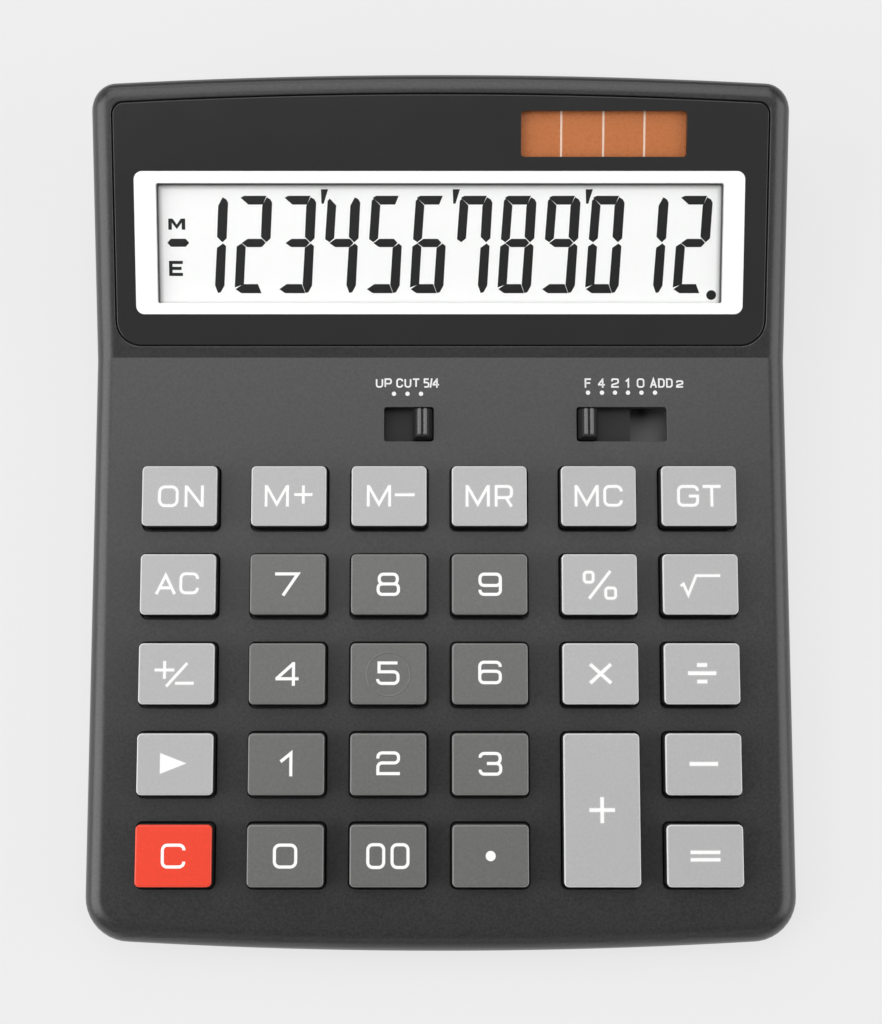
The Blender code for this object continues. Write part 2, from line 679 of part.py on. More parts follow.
def build_upper_case():
    upper = wedge("upper_case", 0, 0, 0, SEAM_HEIGHT + SEAT_GAP, EDGE_RADIUS)
    upper.data.materials.append(CASE_BLACK)
    inner_radius = EDGE_RADIUS - CASE_WALL
    hollow = wedge(
        "upper_hollow", CASE_WALL, CASE_WALL, DISPLAY_WALL, SEAM_HEIGHT - OVERRUN, inner_radius
    )
    cut(upper, hollow)
    bosses, pilots = [], []
    low, high = BOSS_PLANE - OVERRUN, BOSS_PLANE + PILOT_DEPTH
    for x, y in SCREW_PLACES:
        on_deck = y < CREASE_Y
        roof = deck_height(y) - CASE_WALL / 2 if on_deck else display_height(y) - DISPLAY_WALL / 2
        bosses.append(round_bar("boss", UPPER_BOSS_RADIUS, BOSS_PLANE, roof, (x, y)))
        pilots.append(round_bar("pilot", PILOT_RADIUS, low, high, (x, y), sides=8))
    join(upper, merge("upper_bosses", bosses))
    low, high = BOARD_TOP + SEAT_GAP, -CASE_WALL / 2
    ribs = [
        round_bar("locator", LOCATOR_RADIUS, low, high, place, DECK, sides=8) for place in LOCATORS
    ]
    ribs += [slab("rail", [outline], low, high, DECK) for outline in rail_outlines()]
    join(upper, merge("upper_ribs", ribs + holder_clips()))
    cut(upper, merge("upper_pilots", pilots))
    cut(upper, slab("lens_recess", [recess_outline(0)], RECESS_FLOOR, OVERRUN, DISPLAY))
    windows = [
        slab("window", [outline], PANEL_BACK - OVERRUN, RECESS_FLOOR + OVERRUN, DISPLAY)
        for outline in (WINDOW, SOLAR_WINDOW)
    ]
    cut(upper, merge("display_windows", windows))
    holes = [
        slab("aperture", [aperture_outline(centre, depth)], -CASE_WALL - OVERRUN, OVERRUN, DECK)
        for _, _, centre, depth in key_places()
    ]
    for _, x_low, x_high, _, _ in SWITCHES:
        y_low, y_high = SWITCH_Y - SLOT_DEPTH / 2, SWITCH_Y + SLOT_DEPTH / 2
        slot = rectangle(x_low, x_high, y_low, y_high, SLOT_RADIUS)
        holes.append(slab("slot", [slot], -CASE_WALL - OVERRUN, OVERRUN, DECK))
    cut(upper, merge("deck_apertures", holes))


# Lower casing: shallow tray with a lip, screw bosses, board posts, foot recesses and battery well
LOWER_EDGE_RADIUS = 0.0015
LOWER_WALL = 0.0032
LIP_INSET = CASE_WALL + SEAT_GAP
LIP_RISE = 0.0014
COUNTERBORE_RADIUS = 0.0027
COUNTERBORE_DEPTH = 0.0022
SHANK_HOLE_RADIUS = 0.0013
POST_RADIUS = 0.0020
FOOT_RADIUS = 0.0050
FOOT_RECESS_DEPTH = 0.0005
FOOT_FROM_SIDE = 0.0170
FOOT_FROM_FRONT = 0.0150
FOOT_FROM_REAR = 0.0130
FOOT_PLACES = tuple(
    (side * (CASE_WIDTH / 2 - FOOT_FROM_SIDE), y)
    for y in (FRONT_Y + FOOT_FROM_FRONT, REAR_Y - FOOT_FROM_REAR)
    for side in (-1, 1)
)

# Battery well and its door, under the display
CELL_RADIUS = 0.0058
CELL_HEIGHT = 0.00305
CELL_X = -0.0300
CELL_BEHIND_CREASE = 0.0260
CELL_Y = CREASE_Y + CELL_BEHIND_CREASE
CELL_PLACE = (CELL_X, CELL_Y)
DOOR_WIDTH = 0.0260
DOOR_DEPTH = 0.0170
DOOR_RADIUS = 0.0020
DOOR_THICKNESS = 0.0015
DOOR_REACH = 0.0085
DOOR_X = CELL_X - DOOR_WIDTH / 2 + DOOR_REACH
DOOR_SCREW_FROM_EDGE = 0.0035
DOOR_SCREW_PLACE = (DOOR_X - DOOR_WIDTH / 2 + DOOR_SCREW_FROM_EDGE, CELL_Y)
DOOR_TOP = FOOT_STAND + DOOR_THICKNESS
WELL_FLOOR = DOOR_TOP + SEAT_GAP
WELL_MARGIN = 0.0015
WELL_BLOCK_RISE = 0.0016
CUP_WALL = 0.0012
CELL_BOTTOM = DOOR_TOP + SEAT_GAP
CELL_TOP = CELL_BOTTOM + CELL_HEIGHT
CONTACT_THICKNESS = 0.0003
CONTACT_WIDTH = 0.0040
NOTCH_LENGTH = 0.0100


def build_lower_case():
    top = SEAM_HEIGHT
    lower = slab("lower_case", [case_outline(0)], FOOT_STAND, top, material=CASE_BLACK)
    shape = bmesh.new()
    shape.from_mesh(lower.data)
    rim = [
        edge for edge in shape.edges if max(vert.co.z for vert in edge.verts) < FOOT_STAND + WELD
    ]
    bmesh.ops.bevel(
        shape, geom=rim, offset=LOWER_EDGE_RADIUS, offset_type="OFFSET", segments=2, profile=0.5,
        affect="EDGES",
    )
    shape.to_mesh(lower.data)
    shape.free()
    smooth(lower)
    lip_top = top + SEAT_GAP + LIP_RISE
    lip_bottom = (FLOOR_TOP + top) / 2
    cut(lower, slab("lower_hollow", [case_outline(LOWER_WALL)], FLOOR_TOP, top + OVERRUN))
    lip = slab("lower_lip", [case_outline(LIP_INSET), case_outline(LOWER_WALL)], lip_bottom, lip_top)
    join(lower, lip)

    sunk = (FOOT_STAND + FLOOR_TOP) / 2
    boss_top, post_top = BOSS_PLANE - SEAT_GAP, BOARD_BOTTOM - SEAT_GAP
    rises = [
        round_bar("boss", LOWER_BOSS_RADIUS, sunk, boss_top, place) for place in SCREW_PLACES
    ]
    for x, along in LOCATORS:
        y = CREASE_Y + along * cos(DECK_SLOPE)
        foot = -(deck_height(y) - sunk) / cos(DECK_SLOPE)
        rises.append(round_bar("post", POST_RADIUS, foot, post_top, (x, along), DECK, sides=8))
    join(lower, merge("lower_rises", rises))

    block = box_outline(
        (DOOR_X, CELL_Y), DOOR_WIDTH + 2 * WELL_MARGIN, DOOR_DEPTH + 2 * WELL_MARGIN, DOOR_RADIUS
    )
    join(lower, slab("well_block", [block], sunk, WELL_FLOOR + WELL_BLOCK_RISE))
    cup_radius = CELL_RADIUS + SEAT_GAP
    cup_low = WELL_FLOOR + WELL_BLOCK_RISE / 2
    cup = round_bar("well_cup", cup_radius + CUP_WALL, cup_low, CELL_TOP, CELL_PLACE, sides=CELL_SIDES)
    join(lower, cup)
    bore = round_bar(
        "well_bore", cup_radius, WELL_FLOOR - OVERRUN, CELL_TOP + OVERRUN, CELL_PLACE, sides=CELL_SIDES
    )
    cut(lower, bore)
    notch = box_outline(
        (CELL_X + cup_radius + CUP_WALL / 2, CELL_Y), CUP_WALL + 4 * SEAT_GAP, NOTCH_LENGTH
    )
    cut(lower, slab("well_notch", [notch], WELL_FLOOR + WELL_BLOCK_RISE, CELL_TOP + OVERRUN))
    door_hole = box_outline(
        (DOOR_X, CELL_Y), DOOR_WIDTH + 2 * SEAT_GAP, DOOR_DEPTH + 2 * SEAT_GAP, DOOR_RADIUS + SEAT_GAP
    )
    cut(lower, slab("door_recess", [door_hole], FOOT_STAND - OVERRUN, WELL_FLOOR))

    under = FOOT_STAND - OVERRUN
    ceiling = FOOT_STAND + COUNTERBORE_DEPTH
    bores = [round_bar("counterbore", COUNTERBORE_RADIUS, under, ceiling, place) for place in SCREW_PLACES]
    radius, ceiling = FOOT_RADIUS + SEAT_GAP, FOOT_STAND + FOOT_RECESS_DEPTH
    bores += [
        round_bar("foot_recess", radius, under, ceiling, place, sides=FOOT_SIDES) for place in FOOT_PLACES
    ]
    cut(lower, merge("lower_bores", bores))
    shanks = [
        round_bar("shank_hole", SHANK_HOLE_RADIUS, FOOT_STAND, BOSS_PLANE + OVERRUN, place, sides=8)
        for place in SCREW_PLACES
    ]
    door_pilot_top = WELL_FLOOR + WELL_BLOCK_RISE + OVERRUN
    shanks.append(
        round_bar("door_pilot", PILOT_RADIUS, FOOT_STAND, door_pilot_top, DOOR_SCREW_PLACE, sides=8)
    )
    cut(lower, merge("lower_shanks", shanks))


# Display lens: clear acrylic plate that lies in the recess, almost flush
LENS_SINK = 0.0001
LENS_BOTTOM = RECESS_FLOOR + SEAT_GAP
LENS_EDGE_RADIUS = 0.0003


def build_display_lens():
    lens = slab(
        "display_lens", [recess_outline(SEAT_GAP)], LENS_BOTTOM, -LENS_SINK, DISPLAY, LENS_BLACK
    )
    edge = lens.modifiers.new("edge", "BEVEL")
    edge.width = LENS_EDGE_RADIUS
    edge.segments = 1
    edge.limit_method = "ANGLE"
    edge.angle_limit = 2 * SMOOTH_ANGLE


# Liquid crystal panel: two sheets of glass, the lower one shorter so that a contact ledge shows

def build_lcd_panel():
    front_glass = rectangle(-PANEL_HALF_WIDTH, PANEL_HALF_WIDTH, PANEL_FRONT, PANEL_REAR)
    rear_glass = rectangle(-PANEL_HALF_WIDTH, PANEL_HALF_WIDTH, PANEL_FRONT + PANEL_LEDGE, PANEL_REAR)
    middle = PANEL_TOP - GLASS_THICKNESS
    panel = slab("lcd_panel", [front_glass], middle, PANEL_TOP, DISPLAY, LCD_GREY)
    overlap = middle + GLASS_THICKNESS / 2
    join(panel, slab("lcd_rear_glass", [rear_glass], PANEL_BOTTOM, overlap, DISPLAY))


# Holder behind the panel: a tray with three low walls and a window in its base
HOLDER_WINDOW_MARGIN = 0.0080
HOLDER_FRONT = PANEL_FRONT + PANEL_LEDGE + SEAT_GAP


def build_lcd_holder():
    pocket_half, pocket_rear = PANEL_HALF_WIDTH + SEAT_GAP, PANEL_REAR + SEAT_GAP
    half, rear = HOLDER_HALF_WIDTH, pocket_rear + HOLDER_WALL
    pocket_floor = PANEL_BOTTOM - SEAT_GAP
    base = HOLDER_BOTTOM
    outline = rectangle(-half, half, HOLDER_FRONT, rear)
    holder = slab("lcd_holder", [outline], base, PANEL_TOP, DISPLAY, HOLDER_WHITE)
    pocket = rectangle(-pocket_half, pocket_half, HOLDER_FRONT - OVERRUN, pocket_rear)
    cut(holder, slab("holder_pocket", [pocket], pocket_floor, PANEL_TOP + OVERRUN, DISPLAY))
    margin = HOLDER_WINDOW_MARGIN
    window = rectangle(margin - half, half - margin, HOLDER_FRONT + margin, rear - margin, margin / 4)
    cut(holder, slab("holder_window", [window], base - OVERRUN, pocket_floor + OVERRUN, DISPLAY))


# Solar cell under its own window
SOLAR_THICKNESS = 0.0012
SOLAR_OVERLAP_X = 0.0010
SOLAR_OVERLAP_Y = 0.0004


def build_solar_cell():
    width = SOLAR_WINDOW_WIDTH + 2 * SOLAR_OVERLAP_X
    depth = SOLAR_WINDOW_DEPTH + 2 * SOLAR_OVERLAP_Y
    outline = box_outline((SOLAR_MIDDLE_X, SOLAR_MIDDLE), width, depth)
    slab("solar_cell", [outline], PANEL_TOP - SOLAR_THICKNESS, PANEL_TOP, DISPLAY, SOLAR_COPPER)


# Rubber keypad: one silicone sheet with a hollow collapsing dome under every key
DOME_FOOT_RADIUS = 0.0042
DOME_HEAD_RADIUS = 0.0024
DOME_WALL = 0.0006
DOME_SIDES = 8
SHEET_FROM_SIDE = 0.0125
SHEET_HALF_WIDTH = CASE_WIDTH / 2 - SHEET_FROM_SIDE
SHEET_BORDER = 0.0085
SHEET_RADIUS = 0.0020


def build_rubber_keypad():
    rear, front = row_y(0) + SHEET_BORDER, row_y(len(KEY_ROWS) - 1) - SHEET_BORDER
    sheet = rectangle(-SHEET_HALF_WIDTH, SHEET_HALF_WIDTH, front, rear, SHEET_RADIUS)
    holes = [circle(place, LOCATOR_RADIUS + LOCATOR_GAP, 8) for place in LOCATORS]
    keypad = slab("rubber_keypad", [sheet, *holes], SHEET_BOTTOM, SHEET_TOP, DECK, SILICONE)
    for name, inset, low, high in (
        ("keypad_domes", 0, (SHEET_BOTTOM + SHEET_TOP) / 2, DOME_TOP),
        ("keypad_hollows", DOME_WALL, SHEET_BOTTOM - WELD, DOME_TOP - DOME_WALL),
    ):
        foot, head = DOME_FOOT_RADIUS - inset, DOME_HEAD_RADIUS - inset
        cones = [
            round_bar("dome", foot, low, high, centre, DECK, tip=head, sides=DOME_SIDES)
            for _, _, centre, _ in key_places()
        ]
        use_tool(keypad, merge(name, cones), "DIFFERENCE" if inset else "UNION")


# Circuit board with its locating holes, and the controller under a blob of epoxy
BOARD_FROM_SIDE = 0.0120
BOARD_HALF_WIDTH = CASE_WIDTH / 2 - BOARD_FROM_SIDE
BOARD_REAR_GAP = 0.0020
BOARD_RADIUS = 0.0020
CHIP_RADIUS = 0.0060
CHIP_HEIGHT = 0.0015
CHIP_ROW = 2
CHIP_SINK_SHARE = 0.35


def build_circuit_board():
    front = row_y(len(KEY_ROWS) - 1) - SHEET_BORDER
    outline = rectangle(-BOARD_HALF_WIDTH, BOARD_HALF_WIDTH, front, -BOARD_REAR_GAP, BOARD_RADIUS)
    slab("circuit_board", [outline], BOARD_BOTTOM, BOARD_TOP, DECK, BOARD_GREY)


def build_controller():
    """A flattened dome of epoxy that hangs under the board."""
    mesh = bpy.data.meshes.new("controller_blob")
    shape = bmesh.new()
    bmesh.ops.create_uvsphere(shape, u_segments=12, v_segments=8, radius=CHIP_RADIUS)
    everything = shape.verts[:] + shape.edges[:] + shape.faces[:]
    cut_height = -CHIP_RADIUS * CHIP_SINK_SHARE
    bmesh.ops.bisect_plane(
        shape, geom=everything, dist=WELD, plane_co=(0, 0, cut_height), plane_no=(0, 0, 1),
        clear_outer=True,
    )
    rim = [edge for edge in shape.edges if edge.is_boundary]
    bmesh.ops.contextual_create(shape, geom=rim)
    bmesh.ops.recalc_face_normals(shape, faces=shape.faces)
    flatten = CHIP_HEIGHT / (CHIP_RADIUS + cut_height)
    for vert in shape.verts:
        vert.co.z = (vert.co.z - cut_height) * flatten
    shape.to_mesh(mesh)
    shape.free()
    place = Matrix.Translation((0, row_y(CHIP_ROW), BOARD_BOTTOM - SEAT_GAP))
    mesh.transform(DECK @ place)
    smooth(add_object("controller_blob", mesh, EPOXY_BLACK))


# Ribbon that joins the panel's contact ledge to the rear edge of the board
RIBBON_THICKNESS = 0.0003
RIBBON_FROM_PANEL_END = 0.0160
RIBBON_X_LOW = RIBBON_FROM_PANEL_END - PANEL_HALF_WIDTH
RIBBON_X_HIGH = 0.0080
RIBBON_LAP = 0.0050
RIBBON_BULGE = 0.0030


def build_lcd_ribbon():
    """A thin strip drawn in side view, then extruded across the calculator."""
    rise = SEAT_GAP + RIBBON_THICKNESS / 2
    under_ledge = PANEL_TOP - GLASS_THICKNESS - rise
    over_board = BOARD_TOP + rise
    ledge_end = DISPLAY @ Vector((0, PANEL_FRONT + PANEL_LEDGE / 2, under_ledge))
    ledge_bend = DISPLAY @ Vector((0, PANEL_FRONT, under_ledge))
    board_bend = DECK @ Vector((0, -BOARD_REAR_GAP, over_board))
    board_end = DECK @ Vector((0, -BOARD_REAR_GAP - RIBBON_LAP, over_board))
    bulge = (ledge_bend + board_bend) / 2 + Vector((0, RIBBON_BULGE / 2, 0))
    path = [(point.y, point.z) for point in (ledge_end, ledge_bend, bulge, board_bend, board_end)]
    outline = strip_outline(path, RIBBON_THICKNESS)
    slab("lcd_ribbon", [outline], RIBBON_X_LOW, RIBBON_X_HIGH, SIDE_VIEW, RIBBON_AMBER)


# Slide switch: a ribbed knob on a carrier whose skirts run on the board, with a sprung wiper under it
KNOB_STAND = 0.0024
KNOB_DRAFT = 0.0003
RIB_WIDTH = 0.0009
RIB_SPACING = 0.0014
RIB_RISE = 0.0005
CARRIER_THICKNESS = 0.0010
SKIRT_WALL = 0.0008
KNOB_CORNER_RADIUS = 0.0006
WIPER_WIDTH = 0.0040
WIPER_HALF_LENGTH = 0.0055
WIPER_CROWN = 0.0015
WIPER_THICKNESS = 0.00025
CARRIER_TOP = FLANGE_TOP
CARRIER_BOTTOM = CARRIER_TOP - CARRIER_THICKNESS


def build_switch(side, knob_x):
    """The knob with its carrier about its own place, and the wiper that rides under it."""
    frame = DECK @ Matrix.Translation((knob_x, SWITCH_Y, 0))
    here = (0, 0)
    carrier_width = KNOB_WIDTH + 2 * CARRIER_COVER
    carrier_depth = SLOT_DEPTH + 2 * CARRIER_OVERLAP
    knob = slab(
        "switch_knob_" + side, [box_outline(here, carrier_width, carrier_depth)],
        BOARD_TOP + SEAT_GAP, CARRIER_TOP, material=KNOB_BLACK,
    )
    channel = box_outline(here, carrier_width + 2 * OVERRUN, carrier_depth - 2 * SKIRT_WALL)
    cut(knob, slab(side + "_channel", [channel], BOARD_TOP + SEAT_GAP - OVERRUN, CARRIER_BOTTOM))
    grip_depth = SLOT_DEPTH - 2 * SEAT_GAP
    grip = slab(
        side + "_grip", [box_outline(here, KNOB_WIDTH, grip_depth, KNOB_CORNER_RADIUS)],
        (CARRIER_TOP + CARRIER_BOTTOM) / 2, KNOB_STAND,
    )
    join(knob, draft(grip, KNOB_DRAFT, 0))
    rib_depth = grip_depth - 4 * KNOB_DRAFT
    rib_outline = box_outline(here, RIB_WIDTH, rib_depth)
    ribs = []
    for place in (-RIB_SPACING / 2, RIB_SPACING / 2):
        rib = slab("rib", [rib_outline], KNOB_STAND - RIB_RISE, KNOB_STAND + RIB_RISE)
        draft(rib, KNOB_DRAFT / 2, KNOB_STAND)
        rib.data.transform(Matrix.Translation((place, 0, 0)))
        ribs.append(rib)
    join(knob, merge(side + "_ribs", ribs))
    knob.matrix_world = frame
    for tool in knob.modifiers:
        tool.object.matrix_world = frame

    low = BOARD_TOP + SEAT_GAP + WIPER_THICKNESS / 2
    high = CARRIER_BOTTOM - SEAT_GAP - WIPER_THICKNESS / 2
    path = [(-WIPER_HALF_LENGTH, low), (-WIPER_CROWN, high)]
    path += [(-x, height) for x, height in reversed(path)]
    wiper = slab(
        "switch_wiper_" + side, [strip_outline(path, WIPER_THICKNESS)],
        -WIPER_WIDTH / 2, WIPER_WIDTH / 2, FRONT_VIEW, SPRING_METAL,
    )
    wiper.matrix_world = frame


# Battery: button cell, its two contact strips, and the door on the underside with its screw
NEGATIVE_OVERHANG = 0.0030
NEGATIVE_RISE_FROM_CREASE = 0.0160
STRIP_SLOPE_LENGTH = 0.0060
STRIP_LAP = 0.0060
POSITIVE_HEIGHT = 0.0026
POSITIVE_SIDE_STEP = 0.0040
DOOR_HEAD_RADIUS = 0.0018
DOOR_HEAD_THICKNESS = 0.0005
DOOR_HEAD_SINK = 0.0001
DOOR_SHANK_RADIUS = 0.0009
DOOR_SHANK_LENGTH = 0.0024


def build_battery():
    round_bar(
        "button_cell", CELL_RADIUS, CELL_BOTTOM, CELL_TOP, CELL_PLACE, material=STEEL, sides=CELL_SIDES
    )
    under_board = DECK @ Vector((0, -BOARD_REAR_GAP - STRIP_LAP, BOARD_BOTTOM - SEAT_GAP))
    high = under_board.z - CONTACT_THICKNESS / 2
    low = CELL_TOP + SEAT_GAP + CONTACT_THICKNESS / 2
    rise_y = CREASE_Y + NEGATIVE_RISE_FROM_CREASE
    path = [
        (CELL_Y + NEGATIVE_OVERHANG, low),
        (rise_y, low),
        (rise_y - STRIP_SLOPE_LENGTH, high),
        (under_board.y, high),
    ]
    slab(
        "battery_contact_negative", [strip_outline(path, CONTACT_THICKNESS)],
        CELL_X - CONTACT_WIDTH / 2, CELL_X + CONTACT_WIDTH / 2, SIDE_VIEW, SPRING_METAL,
    )
    beside = CELL_X + CELL_RADIUS + SEAT_GAP + CONTACT_THICKNESS / 2
    path = [
        (beside, CELL_Y + NOTCH_LENGTH / 2),
        (beside, rise_y),
        (beside + POSITIVE_SIDE_STEP, rise_y - STRIP_SLOPE_LENGTH),
        (beside + POSITIVE_SIDE_STEP, under_board.y),
    ]
    slab(
        "battery_contact_positive", [strip_outline(path, CONTACT_THICKNESS)],
        under_board.z - POSITIVE_HEIGHT, under_board.z, material=SPRING_METAL,
    )
    door = slab(
        "battery_door", [box_outline((DOOR_X, CELL_Y), DOOR_WIDTH, DOOR_DEPTH, DOOR_RADIUS)],
        FOOT_STAND, DOOR_TOP, material=CASE_BLACK,
    )
    head_low = FOOT_STAND + DOOR_HEAD_SINK
    head_high = head_low + DOOR_HEAD_THICKNESS
    place = DOOR_SCREW_PLACE
    sink_radius = DOOR_HEAD_RADIUS + SEAT_GAP
    cut(door, round_bar("head_recess", sink_radius, FOOT_STAND - OVERRUN, head_high + SEAT_GAP, place))
    through = DOOR_TOP + OVERRUN
    cut(door, round_bar("door_shank_hole", PILOT_RADIUS, FOOT_STAND, through, place, sides=8))
    screw = round_bar(
        "battery_door_screw", DOOR_HEAD_RADIUS, head_low, head_high, place, material=STEEL
    )
    low, high = (head_low + head_high) / 2, head_high + DOOR_SHANK_LENGTH
    join(screw, round_bar("door_shank", DOOR_SHANK_RADIUS, low, high, place, sides=8))


# Case screws and feet
SCREW_HEAD_RADIUS = 0.0023
SCREW_HEAD_THICKNESS = 0.0013
SCREW_SHANK_RADIUS = 0.0009
SCREW_LENGTH = 0.0058
FOOT_EDGE_RADIUS = 0.0004


def build_fasteners_and_feet():
    head_high = FOOT_STAND + COUNTERBORE_DEPTH - SEAT_GAP
    head_low = head_high - SCREW_HEAD_THICKNESS
    for number, place in enumerate(SCREW_PLACES, 1):
        name = f"case_screw_{number}"
        screw = round_bar(name, SCREW_HEAD_RADIUS, head_low, head_high, place, material=STEEL)
        low, high = (head_low + head_high) / 2, head_high + SCREW_LENGTH
        join(screw, round_bar(f"shank_{number}", SCREW_SHANK_RADIUS, low, high, place, sides=8))
    top = FOOT_STAND + FOOT_RECESS_DEPTH - SEAT_GAP
    for number, place in enumerate(FOOT_PLACES, 1):
        name = f"foot_{number}"
        foot = round_bar(name, FOOT_RADIUS, 0, top, place, material=RUBBER, sides=FOOT_SIDES)
        edge = foot.modifiers.new("edge", "BEVEL")
        edge.width = FOOT_EDGE_RADIUS
        edge.segments = 1
        edge.limit_method = "ANGLE"
        edge.angle_limit = 2 * SMOOTH_ANGLE


# Solar leads: two thin wires from the cell, past the holder, to the rear edge of the board
LEAD_RADIUS = 0.0005
LEAD_SPACING = 0.0160
LEAD_BOARD_LAP = 0.0015
LEAD_RUN_HEIGHT = 0.0085
LEAD_REAR_BEND = 0.0060


def build_solar_leads():
    for name, side, material in (("positive", -1, WIRE_RED), ("negative", 1, WIRE_BLACK)):
        x = SOLAR_MIDDLE_X + side * LEAD_SPACING / 2
        under_cell = PANEL_TOP - SOLAR_THICKNESS - SEAT_GAP - LEAD_RADIUS
        start = DISPLAY @ Vector((x, SOLAR_MIDDLE, under_cell))
        end = DECK @ Vector((x, -BOARD_REAR_GAP - LEAD_BOARD_LAP, BOARD_TOP + SEAT_GAP + LEAD_RADIUS))
        path = [
            start,
            Vector((x, start.y, LEAD_RUN_HEIGHT + LEAD_REAR_BEND)),
            Vector((x, start.y - LEAD_REAR_BEND, LEAD_RUN_HEIGHT)),
            Vector((x, CREASE_Y + LEAD_REAR_BEND, LEAD_RUN_HEIGHT)),
            Vector((x, CREASE_Y, end.z)),
            end,
        ]
        round_wire("solar_lead_" + name, path, LEAD_RADIUS, material)


build_upper_case()
build_lower_case()
build_display_lens()
build_lcd_panel()
build_lcd_holder()
build_solar_cell()
build_rubber_keypad()
build_circuit_board()
build_controller()
build_lcd_ribbon()
for side, x_low, x_high, _, way in SWITCHES:
    inner = x_low if way > 0 else x_high
    build_switch(side, inner + way * (KNOB_GAP + KNOB_WIDTH / 2))
build_battery()
build_fasteners_and_feet()
build_solar_leads()

key_meshes = {}
for key_name, colour, (key_x, key_y), key_depth in key_places():
    if key_depth not in key_meshes:
        key_meshes[key_depth] = key_mesh("key_cap", key_depth)
    mesh = key_meshes[key_depth].copy()
    key = add_object("key_" + key_name, mesh, colour)
    key.matrix_world = DECK @ Matrix.Translation((key_x, key_y, 0))
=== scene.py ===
from math import cos, pi, radians, sin, tan

import bmesh
import bpy
from mathutils import Matrix, Vector


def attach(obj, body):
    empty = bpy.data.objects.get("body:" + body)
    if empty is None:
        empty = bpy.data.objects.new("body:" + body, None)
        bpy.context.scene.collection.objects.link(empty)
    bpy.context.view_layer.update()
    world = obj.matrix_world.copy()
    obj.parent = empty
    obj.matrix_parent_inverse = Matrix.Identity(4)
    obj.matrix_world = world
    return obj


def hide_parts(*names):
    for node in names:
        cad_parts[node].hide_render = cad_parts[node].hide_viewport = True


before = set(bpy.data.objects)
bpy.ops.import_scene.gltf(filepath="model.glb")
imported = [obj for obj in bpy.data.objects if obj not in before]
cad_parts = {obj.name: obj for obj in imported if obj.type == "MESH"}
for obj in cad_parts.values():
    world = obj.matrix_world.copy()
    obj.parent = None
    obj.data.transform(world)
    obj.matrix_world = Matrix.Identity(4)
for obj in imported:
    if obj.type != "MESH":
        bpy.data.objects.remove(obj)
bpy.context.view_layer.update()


# Lower casing: a shallow tray, injection moulded in black ABS, whose walls carry a lip that centres
# the upper casing. Its plan has straight sides, bowed ends and round corners, its bottom edge is
# rounded, and screws, feet and the battery door sit in recesses of its floor.
CASE_WIDTH = 0.158
CASE_DEPTH = 0.195
FRONT_Y = -CASE_DEPTH / 2
REAR_Y = CASE_DEPTH / 2
FRONT_BOW = 0.0026
REAR_BOW = 0.0021
FRONT_CORNER = 0.01
REAR_CORNER = 0.006
UNDERSIDE = 0.001
FLOOR_TOP = 0.0028
SEAM = 0.005
SEAM_GAP = 0.0003
HOLLOW_INSET = 0.0032
LIP_INSET = 0.0023
EDGE_BREAK = 0.00025
CORNER_STEPS = 10
BOW_STEPS = 20
HAIR = 1e-6


def pick(piece):
    """Leave one piece selected and active, with nothing else selected."""
    bpy.ops.object.select_all(action="DESELECT")
    piece.select_set(True)
    bpy.context.view_layer.objects.active = piece


def bowed(y_end, side, bow, x):
    """Where the front or rear edge lies at x: it bulges most in the middle."""
    return y_end - side * bow * (2 * x / CASE_WIDTH) ** 2


def case_outline(inset):
    """Plan of the casing, drawn in by an inset, from its front left corner."""
    half = CASE_WIDTH / 2 - inset
    points = []
    for side, y_end, bow, corner in (
        (-1, FRONT_Y, FRONT_BOW, FRONT_CORNER),
        (1, REAR_Y, REAR_BOW, REAR_CORNER),
    ):
        radius = corner - inset
        y_inner = y_end - side * inset
        x_turn = half - radius
        y_turn = bowed(y_inner, side, bow, x_turn) - side * radius
        end = []
        for step in range(CORNER_STEPS + 1):
            angle = pi - 0.5 * pi * step / CORNER_STEPS
            end.append((radius * cos(angle) - x_turn, y_turn + side * radius * sin(angle)))
        for step in range(1, BOW_STEPS):
            x = x_turn * (2 * step / BOW_STEPS - 1)
            end.append((x, bowed(y_inner, side, bow, x)))
        end += [(-x, y) for x, y in reversed(end[: CORNER_STEPS + 1])]
        points += end if side < 0 else end[::-1]
    return points


def face_outwards():
    """Turn every face of the piece in edit mode outwards, and leave edit mode."""
    bpy.ops.mesh.select_all(action="SELECT")
    bpy.ops.mesh.normals_make_consistent(inside=False)
    bpy.ops.object.mode_set(mode="OBJECT")


def raised(name, outline, low, steps, about=(0.0, 0.0, 0.0)):
    """A solid raised from an outline: a closed line is drawn, made a mesh and filled, and each step
    lifts its upper face, and draws it in or out about a point where the step says how much."""
    line = bpy.data.curves.new(name, "CURVE")
    line.dimensions = "3D"
    spline = line.splines.new("POLY")
    spline.points.add(len(outline) - 1)
    for point, (x, y) in zip(spline.points, outline):
        point.co = (x, y, low, 1)
    spline.use_cyclic_u = True
    piece = bpy.data.objects.new(name, line)
    bpy.context.collection.objects.link(piece)
    pick(piece)
    bpy.ops.object.convert(target="MESH")
    bpy.ops.object.mode_set(mode="EDIT")
    bpy.ops.mesh.select_all(action="SELECT")
    bpy.ops.mesh.edge_face_add()
    bpy.ops.mesh.select_all(action="SELECT")
    for rise, *growth in steps:
        bpy.ops.mesh.extrude_region_move(TRANSFORM_OT_translate={"value": (0, 0, rise)})
        if growth:
            bpy.ops.transform.resize(value=(*growth, 1.0), center_override=about)
    face_outwards()
    return bpy.context.object


def block(name, outline, low, high):
    """A straight solid between two heights above an outline."""
    return raised(name, outline, low, [(high - low,)])


def pin(name, radius, low, high, x, y, sides=32):
    """A round solid between two heights."""
    bpy.ops.mesh.primitive_cylinder_add(
        vertices=sides, radius=radius, depth=high - low, location=(x, y, (low + high) / 2)
    )
    bpy.ops.object.transform_apply(location=True, rotation=True, scale=True)
    piece = bpy.context.object
    piece.name = name
    return piece


